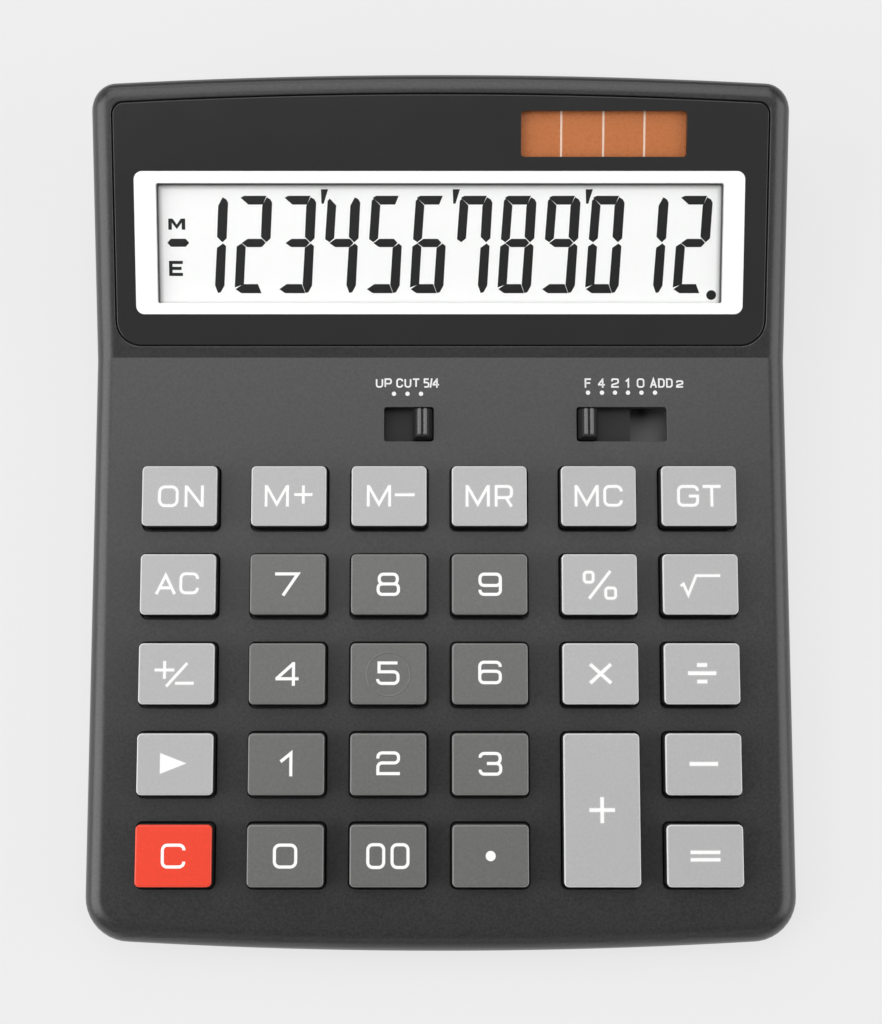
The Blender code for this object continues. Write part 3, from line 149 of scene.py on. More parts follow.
def set_in(piece, place):
    """Move a piece's mesh to its place; its object stays at the origin."""
    piece.data.transform(place)
    return piece


def together(name, pieces):
    """Several solids as one object."""
    pick(pieces[0])
    if len(pieces) > 1:
        for piece in pieces:
            piece.select_set(True)
        bpy.ops.object.join()
    bpy.context.object.name = name
    return bpy.context.object


def work(piece, tools, operation, crossing=False):
    """Work on a piece with tools, which may cross one another and are used up."""
    tool = together("tool", tools)
    pick(piece)
    step = piece.modifiers.new("step", "BOOLEAN")
    step.operation = operation
    step.object = tool
    step.solver = "EXACT"
    step.use_self = crossing
    bpy.ops.object.modifier_apply(modifier=step.name)
    bpy.data.objects.remove(tool)


def cut(piece, *tools, crossing=False):
    work(piece, tools, "DIFFERENCE", crossing)


def weld(piece, *tools):
    work(piece, tools, "UNION")


def choose(piece, kind, wanted):
    """Go into edit mode with the wanted edges or faces of a piece selected."""
    pick(piece)
    bpy.ops.object.mode_set(mode="EDIT")
    bpy.ops.mesh.select_mode(type=kind)
    bpy.ops.mesh.select_all(action="DESELECT")
    shape = bmesh.from_edit_mesh(piece.data)
    shape.normal_update()
    for part in shape.edges if kind == "EDGE" else shape.faces:
        if wanted(part):
            part.select_set(True)
    bmesh.update_edit_mesh(piece.data)


def round_edges(piece, wanted, radius, steps):
    """Round the wanted edges of a piece."""
    choose(piece, "EDGE", wanted)
    bpy.ops.mesh.bevel(
        offset=radius, offset_type="OFFSET", segments=steps, profile=0.5, affect="EDGES",
        clamp_overlap=False,
    )
    bpy.ops.object.mode_set(mode="OBJECT")


def heights(edge):
    return [vert.co.z for vert in edge.verts]


def upright(face):
    return abs(face.normal.z) < 0.5


def round_foot(piece, height, radius, steps):
    """Round the edges of a piece's flat underside, which lies at a height."""
    round_edges(piece, lambda edge: max(heights(edge)) < height + HAIR, radius, steps)


def round_top(piece, height, radius, steps):
    """Round the edges of a piece's flat top, which lies at a height."""
    round_edges(
        piece, lambda edge: min(heights(edge)) > height - HAIR and any(map(upright, edge.link_faces)),
        radius, steps,
    )


def shade(piece, angle=28):
    """Shade round forms smooth and keep flat faces flat and real edges sharp."""
    pick(piece)
    bpy.ops.object.shade_smooth_by_angle(angle=radians(angle))
    even = piece.modifiers.new("even", "WEIGHTED_NORMAL")
    even.keep_sharp = True
    bpy.ops.object.modifier_apply(modifier=even.name)
    return piece


def sign(operation, reflected=False):
    """An operator of Level: the Math node of an operation, with both sides in their order."""
    if reflected:
        return lambda level, other: level.math(operation, other, level)
    return lambda level, other: level.math(operation, level, other)


class Level:
    """A number or colour in a material, which ordinary signs can work on."""

    def __init__(self, finish, socket):
        self.finish = finish
        self.socket = socket

    def math(self, operation, first, second):
        return self.finish.add("Math", {"operation": operation}, {0: first, 1: second})

    __add__, __radd__ = sign("ADD"), sign("ADD", True)
    __sub__, __rsub__ = sign("SUBTRACT"), sign("SUBTRACT", True)
    __mul__, __rmul__ = sign("MULTIPLY"), sign("MULTIPLY", True)
    __pow__ = sign("POWER")


class Finish:
    """A material: its nodes are added one by one, and its shader takes colour, gloss and grain."""

    def __init__(self, name):
        self.material = bpy.data.materials.new(name)
        self.material.use_nodes = True
        self.tree = self.material.node_tree
        self.shader = self.tree.nodes["Principled BSDF"]

    def add(self, kind, settings, sockets, out=0):
        """Add a node of a type with its settings, then the values or links of its sockets."""
        node = self.tree.nodes.new("ShaderNode" + kind)
        for name, value in settings.items():
            setattr(node, name, value)
        for name, value in sockets.items():
            self.feed(node.inputs[name], value)
        return Level(self, node.outputs[out])

    def feed(self, socket, value):
        if isinstance(value, Level):
            self.tree.links.new(value.socket, socket)
        else:
            socket.default_value = value

    def place(self, centre=(0, 0, 0), stretch=(1, 1, 1)):
        """Where a point lies on the piece, from a centre of its own."""
        here = self.add("TexCoord", {}, {}, "Object")
        return self.add("Mapping", {}, {"Vector": here, "Location": centre, "Scale": stretch})

    def noise(self, where, scale, detail=2.0, rough=0.5):
        return self.add(
            "TexNoise", {}, {"Vector": where, "Scale": scale, "Detail": detail, "Roughness": rough}
        )

    def spread(self, level, low, high, start=0.0, end=1.0):
        """Stretch a level from one range to another, and hold it there."""
        return self.add(
            "MapRange", {"clamp": True},
            {"Value": level, "From Min": low, "From Max": high, "To Min": start, "To Max": end},
        )

    def mix(self, share, first, second):
        """A colour between two, by a share."""
        return self.add("Mix", {"data_type": "RGBA"}, {0: share, 6: first, 7: second}, 2)

    def dot(self, first, second):
        return self.add("VectorMath", {"operation": "DOT_PRODUCT"}, {0: first, 1: second}, "Value")

    def edge(self, reach):
        """How near a point lies to an edge: 0 on flat faces, more where the surface turns."""
        turned = self.add("Bevel", {"samples": 4}, {"Radius": reach})
        straight = self.add("NewGeometry", {}, {}, "Normal")
        return self.spread(1 - self.dot(turned, straight), 0.01, 0.16)

    def bump(self, height, strength, distance):
        """Let a level stand out as fine relief."""
        sockets = {"Height": height, "Strength": strength, "Distance": distance}
        self.set(Normal=self.add("Bump", {}, sockets))

    def set(self, **sockets):
        for name, value in sockets.items():
            self.feed(self.shader.inputs[name.replace("_", " ")], value)


def tint(colour, share):
    """A colour made lighter or darker, as the four numbers of a socket."""
    return (*(min(1.0, part * share) for part in colour), 1.0)


# Painted shade: the black painted on the key caps' lower walls, where shade falls between the keys.
WALL_SHADE_BLACK = (0.016, 0.016, 0.016, 1)


def moulded(name, colour, gloss, grain, grain_depth, wear_and_highlight=0.35, mottle=0.05, grit=0.08, wall_shade=None):
    """Moulded plastic: spark-eroded grain, faint mottling, and paler, smoother worn edges, where a high
    wear share also paints a highlight on the edge. A wall shade is a way up and two heights, between
    which painted shade, black on the lower walls, gives way to the plastic's colour, and the height of
    the top, whose rounded rim gets a painted highlight."""
    finish = Finish(name)
    where = finish.place()
    fine = finish.noise(where, grain, 3.0, 0.6)
    coarse = finish.noise(where, grain / 5)
    cloud = finish.noise(where, 28.0, 4.0, 0.55)
    worn = finish.edge(0.0004) * finish.spread(cloud, 0.35, 0.65, 0.3, 1.0)
    speckle = finish.spread(fine, 0.35, 0.65)
    patch = finish.spread(cloud, 0.3, 0.7)
    shadow = finish.mix(speckle, tint(colour, 1 - grit), tint(colour, 1 + grit))
    broad = finish.mix(patch, tint(colour, 1 - mottle), tint(colour, 1 + mottle))
    # The paler tint of worn edges: real wear, and on the keys, with their high share, a painted
    # highlight as well.
    pale_wear_and_highlight = tint(colour, 1.9)
    body = finish.mix(worn * wear_and_highlight, finish.mix(0.5, shadow, broad), pale_wear_and_highlight)
    # Painted shade and highlight: the lower walls are painted black as shade, and the top rim is
    # painted paler as a highlight.
    if wall_shade:
        up, low, high, top = wall_shade
        height = finish.dot(where, up)
        rim_highlight = finish.spread(height, top - 0.00009, top - 0.00002, 1.0, 0.0)
        body = finish.mix(rim_highlight * wear_and_highlight, body, pale_wear_and_highlight)
        body = finish.mix(finish.spread(height, low, high), WALL_SHADE_BLACK, body)
    rough = gloss + 0.03 * patch + 0.02 * speckle - 0.12 * worn
    finish.set(Base_Color=body, Roughness=rough, IOR=1.5)
    finish.bump(0.7 * fine + 0.3 * coarse, 0.5, grain_depth)
    return finish.material


CASE_PLASTIC = moulded(
    "case_plastic", (0.031, 0.031, 0.0313), 0.28, 1700.0, 0.00002, wear_and_highlight=0.15, mottle=0.07, grit=0.45
)


def recoat(material, *nodes):
    """Give parts that keep their shape a new finish in their own slots."""
    for node in nodes:
        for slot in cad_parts[node].material_slots:
            slot.material = material


def fit(piece, material, slot, *nodes, body="casing"):
    """Finish a piece, let it ride on its body, and let it stand for the parts it replaces."""
    piece.data.materials.clear()
    piece.data.materials.append(material)
    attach(piece, body)
    if nodes:
        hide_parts(*nodes)


SCREW_PLACES = tuple((x, y) for y in (-0.0853, -0.0069, 0.0852) for x in (-0.0711, 0.0711))
FOOT_PLACES = tuple((x, y) for y in (-0.0825, 0.0845) for x in (-0.062, 0.062))
CELL_PLACE = (-0.03, 0.0612)
DOOR_MIDDLE = (-0.0345, 0.0612)
DOOR_SCREW = (-0.044, 0.0612)
BOSS_PLANE = 0.006
PILOT_RADIUS = 0.00115
FLOOR_MIDDLE = 0.0019
WELL_TOP = 0.0044
CUP_CLEAR = 0.0068


def arc(x, y, radius, quarter, steps):
    """A quarter circle about a point; the quarters run from the lower left one round by the right."""
    angles = [pi + 0.5 * pi * (quarter + step / steps) for step in range(steps + 1)]
    return [(x + radius * cos(angle), y + radius * sin(angle)) for angle in angles]


def round_box(middle, width, depth, radius, steps=6):
    """The outline of a rectangle with round corners."""
    points = []
    for quarter, (x_side, y_side) in enumerate(((-1, -1), (1, -1), (1, 1), (-1, 1))):
        x = middle[0] + x_side * (width / 2 - radius)
        y = middle[1] + y_side * (depth / 2 - radius)
        points += arc(x, y, radius, quarter, steps)
    return points


lower = block("lower_casing", case_outline(0), UNDERSIDE, SEAM)
round_foot(lower, UNDERSIDE, 0.0015, 6)
round_top(lower, SEAM, EDGE_BREAK, 2)
cut(lower, block("hollow", case_outline(HOLLOW_INSET), FLOOR_TOP, SEAM + 0.001))
lip = block("lip", case_outline(LIP_INSET), 0.0039, SEAM + SEAM_GAP + 0.0014)
cut(lip, block("lip_hole", case_outline(HOLLOW_INSET), 0.003, 0.008))
weld(lower, lip)
weld(lower, *(pin("boss", 0.0036, FLOOR_MIDDLE, BOSS_PLANE - SEAM_GAP, x, y) for x, y in SCREW_PLACES))
weld(lower, block("well", round_box(DOOR_MIDDLE, 0.029, 0.02, 0.002), FLOOR_MIDDLE, WELL_TOP))
weld(lower, pin("cup", 0.0073, 0.0036, 0.00585, *CELL_PLACE, 48))
cut(lower, pin("bore", 0.0061, 0.0018, CUP_CLEAR, *CELL_PLACE, 48))
notch = round_box((CELL_PLACE[0] + 0.0067, CELL_PLACE[1]), 0.0024, 0.01, 0.0002, 1)
cut(lower, block("notch", notch, WELL_TOP, CUP_CLEAR))
cut(lower, block("door_hole", round_box(DOOR_MIDDLE, 0.0266, 0.0176, 0.0023), 0.0, FLOOR_TOP))
holes = [pin("counterbore", 0.0027, 0.0, 0.0032, x, y) for x, y in SCREW_PLACES]
holes += [pin("foot_seat", 0.0053, 0.0, 0.0015, x, y, 48) for x, y in FOOT_PLACES]
cut(lower, *holes)
shanks = [pin("shank_hole", 0.0013, 0.0, 0.007, x, y, 16) for x, y in SCREW_PLACES]
cut(lower, *shanks, pin("door_pilot", PILOT_RADIUS, 0.0, 0.0055, *DOOR_SCREW, 16))
shade(lower)
fit(lower, CASE_PLASTIC, "case_black", "lower_case")


# Battery: one button cell that keeps the memory in the dark. It is a rolled steel can with a sunk
# joint round its cap, and two sprung strips lead from it to the circuit board.
CELL_LOW = 0.0028


def metal(name, colour, gloss, stretch=(1, 1, 1)):
    """Rolled or plated metal: fine drawn lines, faint stains and brighter edges."""
    finish = Finish(name)
    lines = finish.noise(finish.place(stretch=stretch), 900.0, 4.0, 0.6)
    stain = finish.noise(finish.place(), 160.0, 3.0)
    worn = finish.edge(0.0002)
    body = finish.mix(0.25 + 0.5 * stain, tint(colour, 0.82), tint(colour, 1.05))
    finish.set(
        Base_Color=finish.mix(worn * 0.6, body, tint(colour, 1.25)),
        Roughness=gloss + 0.1 * finish.spread(lines, 0.3, 0.7) + 0.08 * stain - 0.08 * worn,
        Metallic=1.0,
    )
    finish.bump(lines, 0.25, 0.00001)
    return finish.material


STEEL = metal("plated_steel", (0.62, 0.61, 0.6), 0.24)
SPRING_METAL = metal("spring_bronze", (0.72, 0.6, 0.38), 0.28, (0.2, 1, 1))

cell = pin("cell", 0.0058, CELL_LOW, CELL_LOW + 0.00305, *CELL_PLACE, 64)
round_foot(cell, CELL_LOW, 0.0004, 4)
choose(cell, "FACE", lambda face: face.normal.z > 0.9)
for width, rise in ((0.0009, -0.00025), (0.0004, 0.0002)):
    bpy.ops.mesh.inset(thickness=width)
    bpy.ops.transform.translate(value=(0, 0, rise))
face_outwards()
shade(cell)
fit(cell, STEEL, "steel", "button_cell")
recoat(SPRING_METAL, "battery_contact_positive", "battery_contact_negative")


# Battery door: a small black moulding flush with the underside, with grooves for a finger, held by
# one screw. Screws have flat heads with a cross recess, sunk in their holes.
def screw(name, radius, low, high, tip, x, y, recess):
    """A screw driven from below: a head between two heights, its cross recess, and its shank."""
    piece = pin(name, radius, low, high, x, y, 48)
    rounding = (high - low) * 0.3
    round_foot(piece, low, rounding, 4)
    cross = []
    for width, depth in ((radius * 1.15, radius * 0.3), (radius * 0.3, radius * 1.15)):
        outline = round_box((x, y), width, depth, radius * 0.12, 2)
        cross.append(raised("arm", outline, low - 0.0002, [(0.0002 + recess, 0.86, 0.86)], (x, y, low)))
    cut(piece, *cross, crossing=True)
    weld(piece, pin("shank", 0.0009, high - rounding, tip, x, y, 24))
    return shade(piece)


door = block("battery_cover", round_box(DOOR_MIDDLE, 0.026, 0.017, 0.002), UNDERSIDE, 0.0025)
round_foot(door, UNDERSIDE, EDGE_BREAK, 3)
cuts = [pin("head_recess", 0.0021, 0.0, 0.0019, *DOOR_SCREW, 32)]
for step in range(5):
    middle = (DOOR_MIDDLE[0] + 0.006 + step * 0.0011, DOOR_MIDDLE[1])
    cuts.append(block("groove", round_box(middle, 0.0006, 0.009, 0.0003, 3), 0.0, UNDERSIDE + 0.0003))
cut(door, *cuts)
cut(door, pin("door_hole", PILOT_RADIUS, 0.0, 0.003, *DOOR_SCREW, 16))
shade(door)
fit(door, CASE_PLASTIC, "case_black", "battery_door")
fit(
    screw("door_screw", 0.0018, 0.0011, 0.0016, 0.004, *DOOR_SCREW, 0.0003),
    STEEL, "steel", "battery_door_screw",
)


# Feet: four soft black rubber discs, glued in shallow seats in the underside.
RUBBER = moulded("foot_rubber", (0.03, 0.03, 0.03), 0.72, 2600.0, 0.00003, wear_and_highlight=0.15, mottle=0.06)
for number, (x, y) in enumerate(FOOT_PLACES, 1):
    foot = pin(f"rubber_foot_{number}", 0.005, 0.0, 0.0012, x, y, 64)
    round_foot(foot, 0.0, 0.0004, 4)
    shade(foot)
    fit(foot, RUBBER, "rubber_black", f"foot_{number}")


# Circuit board and keypad: a resin board with a dark mask carries the chip under a drop of black
# resin. A silicone sheet lies on it, with one dome below each key that springs the key back.
mask = Finish("board_mask")
where = mask.place()
fibre = mask.add(
    "TexWave", {"bands_direction": "X"},
    {"Vector": where, "Scale": 700.0, "Distortion": 1.5, "Detail": 2.0},
)
cloud = mask.noise(where, 90.0, 3.0)
mask.set(
    Base_Color=mask.mix(0.6 * cloud + 0.3 * fibre, (0.09, 0.096, 0.092, 1), (0.15, 0.156, 0.15, 1)),
    Roughness=0.4 + 0.15 * cloud,
)
mask.bump(fibre, 0.2, 0.00002)
recoat(mask.material, "circuit_board")
resin = moulded("blob_resin", (0.02, 0.02, 0.021), 0.22, 300.0, 0.00006, wear_and_highlight=0.1)
recoat(resin, "controller_blob")
silicone = moulded("keypad_silicone", (0.3, 0.31, 0.32), 0.6, 2200.0, 0.00003, wear_and_highlight=0.1, mottle=0.04)
recoat(silicone, "rubber_keypad")


# Upper casing: one wedge-shaped moulding of the same black plastic, screwed down from below. Its deck
# slopes 2 degrees and its display face 15, and they meet in a crisp crease. Its rim is well rounded,
# its front rolls down a little, and it has holes for the keys, the switches, the lens and the panel.
DECK_SLOPE = radians(2)
DISPLAY_SLOPE = radians(15)
CREASE_Y = 0.0352
CREASE_HEIGHT = 0.0118 + 0.1327 * tan(DECK_SLOPE)
CREASE = Matrix.Translation((0, CREASE_Y, CREASE_HEIGHT))
DECK = CREASE @ Matrix.Rotation(DECK_SLOPE, 4, "X")
DISPLAY = CREASE @ Matrix.Rotation(DISPLAY_SLOPE, 4, "X")
DECK_WALL = 0.002
DISPLAY_WALL = 0.0032
RIM_RADIUS = 0.0047
ROLL_LENGTH = 0.013
ROLL_DROP = 0.0008
ROLL_STEPS = 12
SMOOTH_LIMIT = 12.2
KEY_WIDTH = 0.01672
KEY_DEPTH = 0.01342
ROW_PITCH = 0.0198
KEY_DRAFT = 0.0003
KEY_GAP = 0.00013
FRONT_GAP = 0.00045
SWITCH_MIDDLE = -0.01536
SLOT_DEPTH = 0.0078
HOLE_BOTTOM = -0.003
FLARE_STEPS = 4
RECESS_SIDE = 0.005
RECESS_FRONT = 0.0026
RECESS_REAR = 0.0054
RECESS_CORNERS = (0.0058, 0.0028)
PANEL_MIDDLE = (0, 0.0258)
SUN_MIDDLE = (0.03685, 0.0501)


def cut_line(piece, y):
    """Cut every face of a piece along a line across the casing."""
    pick(piece)
    bpy.ops.object.mode_set(mode="EDIT")
    bpy.ops.mesh.select_all(action="SELECT")
    bpy.ops.mesh.bisect(plane_co=(0, y, 0), plane_no=(0, 1, 0))
    bpy.ops.object.mode_set(mode="OBJECT")


def wedge(name, inset, deck_drop, display_drop, bottom, radius, rim_steps):
    """A wedge inside the casing's outline: a block cut at the crease, its top lifted to both slopes
    and its rim rounded, whose front is then rolled down."""
    deck_low = deck_drop / cos(DECK_SLOPE)
    display_low = display_drop / cos(DISPLAY_SLOPE)
    crease = CREASE_Y + (display_low - deck_low) / (tan(DISPLAY_SLOPE) - tan(DECK_SLOPE))
    body = block(name, case_outline(inset), bottom, CREASE_HEIGHT)
    round_foot(body, bottom, EDGE_BREAK, 2)
    cut_line(body, crease)
    for vert in body.data.vertices:
        if vert.co.z > (bottom + CREASE_HEIGHT) / 2:
            along = vert.co.y - CREASE_Y
            deck = CREASE_HEIGHT + along * tan(DECK_SLOPE) - deck_low
            display = CREASE_HEIGHT + along * tan(DISPLAY_SLOPE) - display_low
            vert.co.z = deck if vert.co.y <= crease + HAIR else display
    round_edges(
        body,
        lambda edge: sorted(face.normal.z > 0.5 for face in edge.link_faces) == [False, True]
        and min(heights(edge)) > bottom + 0.001,
        radius, rim_steps,
    )
    for step in range(ROLL_STEPS):
        cut_line(body, FRONT_Y + ROLL_LENGTH * (1 - step / ROLL_STEPS))
    for vert in body.data.vertices:
        if vert.co.z > bottom + 0.001:
            share = max(0.0, (FRONT_Y + ROLL_LENGTH - vert.co.y) / ROLL_LENGTH)
            vert.co.z -= ROLL_DROP * share**2
    return body


def flared(name, outline, middle, size, bottom, radius):
    """A cutter for a hole whose upper edge comes out rounded: it widens towards the surface."""
    steps = [(-radius - bottom,)]
    before, height = 0.0, -radius
    for step in range(1, FLARE_STEPS + 1):
        angle = 0.5 * pi * step / FLARE_STEPS
        wider, higher = radius * (1 - cos(angle)), radius * (sin(angle) - 1)
        steps.append((higher - height, *((side + 2 * wider) / (side + 2 * before) for side in size)))
        before, height = wider, higher
    return raised(name, outline, bottom, [*steps, (0.0012,)], (*middle, 0.0))


def key_middle(column, row):
    """Middle of a key on the deck; the first column and the last two stand apart from the digits."""
    blocks = (column >= 1) + (column >= 4)
    return -0.05845 + column * 0.02244 + blocks * 0.002, -(0.0322 + row * ROW_PITCH)


KEYS = (
    ("on", "m_plus", "m_minus", "mr", "mc", "gt"),
    ("ac", "7", "8", "9", "percent", "root"),
    ("sign", "4", "5", "6", "multiply", "divide"),
    ("back", "1", "2", "3", "plus", "minus"),
    ("c", "0", "00", "point", None, "equals"),
)
KEY_PLACES = {}
for row, names in enumerate(KEYS):
    for column, name in enumerate(names):
        if name:
            x, along = key_middle(column, row)
            tall = name == "plus"
            KEY_PLACES[name] = (x, along - tall * ROW_PITCH / 2, KEY_DEPTH + tall * ROW_PITCH)

SLOTS = ((-0.01282, -0.0016), (0.0309, 0.0513))


def recess_outline(inset):
    """The lens recess: square front and sides, and a rear edge that runs beside the casing's bow."""
    half = CASE_WIDTH / 2 - RECESS_SIDE - inset
    drop = REAR_BOW * (2 * half / CASE_WIDTH) ** 2
    front = RECESS_FRONT + inset
    rear = (REAR_Y - CREASE_Y) / cos(DISPLAY_SLOPE) - RECESS_REAR - inset - drop
    points = []
    for quarter, x_side in enumerate((-1, 1, 1, -1)):
        y_end, y_side = (front, 1) if quarter < 2 else (rear, -1)
        radius = RECESS_CORNERS[quarter // 2] - inset
        x, y = x_side * (half - radius), y_end + y_side * radius
        points += arc(x, y, radius, quarter, CORNER_STEPS)
        if quarter == 2:
            for step in range(1, BOW_STEPS):
                share = 1 - 2 * step / BOW_STEPS
                points.append((x * share, y_end + drop * (1 - share**2)))
    return points


upper = wedge("upper_casing", 0, 0, 0, SEAM + SEAM_GAP, RIM_RADIUS, 8)
cut(upper, wedge("hollow", DECK_WALL, DECK_WALL, DISPLAY_WALL, 0.004, RIM_RADIUS - DECK_WALL, 4))
bosses = []
for x, y in SCREW_PLACES:
    slope, overlap = (DISPLAY_SLOPE, 0.0018) if y > CREASE_Y else (DECK_SLOPE, 0.0012)
    ceiling = CREASE_HEIGHT + (y - CREASE_Y) * tan(slope) - overlap
    bosses.append(pin("boss", 0.003, BOSS_PLANE, ceiling, x, y, 24))
weld(upper, *bosses)
pilot = (PILOT_RADIUS, BOSS_PLANE - 0.001, BOSS_PLANE + 0.0032)
cut(upper, *(pin("pilot", *pilot, x, y, 16) for x, y in SCREW_PLACES))
recess = flared("lens_recess", recess_outline(0), (0.0, 0.0308), (0.148, 0.0564), -0.0016, EDGE_BREAK)
cut(upper, set_in(recess, DISPLAY))
windows = [
    block("lcd_window", round_box(PANEL_MIDDLE, 0.1312, 0.029, 0.001), -0.0042, -0.0006),
    block("solar_window", round_box(SUN_MIDDLE, 0.0386, 0.0111, 0.001), -0.0042, -0.0006),
]
cut(upper, set_in(together("windows", windows), DISPLAY))
holes = []
grow = 2 * (KEY_DRAFT + KEY_GAP)
for x, along, depth in KEY_PLACES.values():
    middle, size = (0, -FRONT_GAP / 2), (KEY_WIDTH + grow, depth + grow + FRONT_GAP)
    hole = flared("key_hole", round_box(middle, *size, 0.0014), middle, size, HOLE_BOTTOM, 0.00015)
    holes.append(set_in(hole, Matrix.Translation((x, along, 0))))
for x_low, x_high in SLOTS:
    middle, size = ((x_low + x_high) / 2, SWITCH_MIDDLE), (x_high - x_low, SLOT_DEPTH)
    holes.append(flared("slot", round_box(middle, *size, 0.0006), middle, size, HOLE_BOTTOM, 0.00012))
cut(upper, set_in(together("deck_holes", holes), DECK))
shade(upper, SMOOTH_LIMIT)
fit(upper, CASE_PLASTIC, "case_black", "upper_case")
for number, (x, y) in enumerate(SCREW_PLACES, 1):
    fit(
        screw(f"cross_screw_{number}", 0.0023, 0.0016, 0.0029, 0.0087, x, y, 0.0008),
        STEEL, "steel", f"case_screw_{number}",
    )


# Key caps: hollow caps of light grey, dark grey or red satin plastic. Painted shade makes their lower
# walls black, and a painted highlight makes their rounded top rim and edges paler. Each has drafted
# walls, a softly rounded edge, a flange that keeps it under the deck, and a plunger that stands on the
# rubber dome below.
KEY_TOP = 0.0038
KEY_BOTTOM = -0.0032
FLANGE_TOP = -0.0023
DECK_UP = (0, -sin(DECK_SLOPE), cos(DECK_SLOPE))
DECK_HEIGHT = CREASE_Y * DECK_UP[1] + CREASE_HEIGHT * DECK_UP[2]
DECK_TOP = DECK_HEIGHT + KEY_TOP
# Heights of the painted shade on the key walls and of the painted highlight on the top rim.
WALL_SHADE = (DECK_UP, DECK_TOP - 0.0008, DECK_TOP - 0.00045, DECK_TOP)
SATIN = (0.34, 2000.0, 0.000012)
# Their high wear share paints a highlight on the caps' edges, besides the painted wall shade.
LIGHT_PLASTIC = moulded("light_grey_plastic", (0.42, 0.42, 0.42), *SATIN, 0.8, 0.02, 0.07, WALL_SHADE)
DARK_PLASTIC = moulded("dark_grey_plastic", (0.132, 0.132, 0.129), *SATIN, 0.8, 0.04, 0.16, WALL_SHADE)
RED_PLASTIC = moulded("red_plastic", (0.8, 0.052, 0.022), *SATIN, 0.45, 0.03, 0.07, WALL_SHADE)


def key_cap(depth):
    """A cap about its own middle at the deck's surface."""
    base = (KEY_WIDTH + 2 * KEY_DRAFT, depth + 2 * KEY_DRAFT)
    shrink = [(side - 2 * KEY_DRAFT) / side for side in base]
    outline = round_box((0, 0), *base, 0.0011)
    cap = raised("cap", outline, KEY_BOTTOM, [(KEY_TOP - KEY_BOTTOM, *shrink)])
    round_top(cap, KEY_TOP, 0.0004, 5)
    grow = 2 * (KEY_DRAFT + KEY_GAP + 0.0008)
    flange = round_box((0, 0), KEY_WIDTH + grow, depth + grow, 0.0004, 2)
    weld(cap, block("flange", flange, KEY_BOTTOM, FLANGE_TOP))
    inside = round_box((0, 0), KEY_WIDTH - 0.0022, depth - 0.0022, 0.0006, 3)
    cut(cap, block("inside", inside, KEY_BOTTOM - 0.001, KEY_TOP - 0.0012))
    weld(cap, pin("plunger", 0.002, KEY_BOTTOM, KEY_TOP - 0.0006, 0, 0))
    return cap


# Key legends: white strokes of even width with rounded corners, pressed into shallow grooves of each
# cap's top. They are drawn in millimetres: letters from their lower left corner, signs from the
# middle of the cap. The 5 also has a raised ring, which the finger finds without looking.
LETTER_STROKE = 0.58
DIGIT_STROKE = 0.67
BEND_STEPS = 5
GROOVE_MARGIN = 0.1
GROOVE_SPAN = (KEY_TOP - 0.00012, KEY_TOP + 0.001)
STROKE_SPAN = (KEY_TOP - 0.001, KEY_TOP + 0.001)
LEGEND_SPAN = (KEY_TOP - 0.00014, KEY_TOP - 0.00004)


def loop(low_x, low_y, high_x, high_y, radius):
    """A closed round-cornered stroke, drawn as two halves that overlap a little."""
    middle = (low_y + high_y) / 2
    return [
        (radius, (low_x, middle + 0.05), (low_x, low_y), (high_x, low_y), (high_x, middle + 0.05)),
        (radius, (low_x, middle - 0.05), (low_x, high_y), (high_x, high_y), (high_x, middle - 0.05)),
    ]


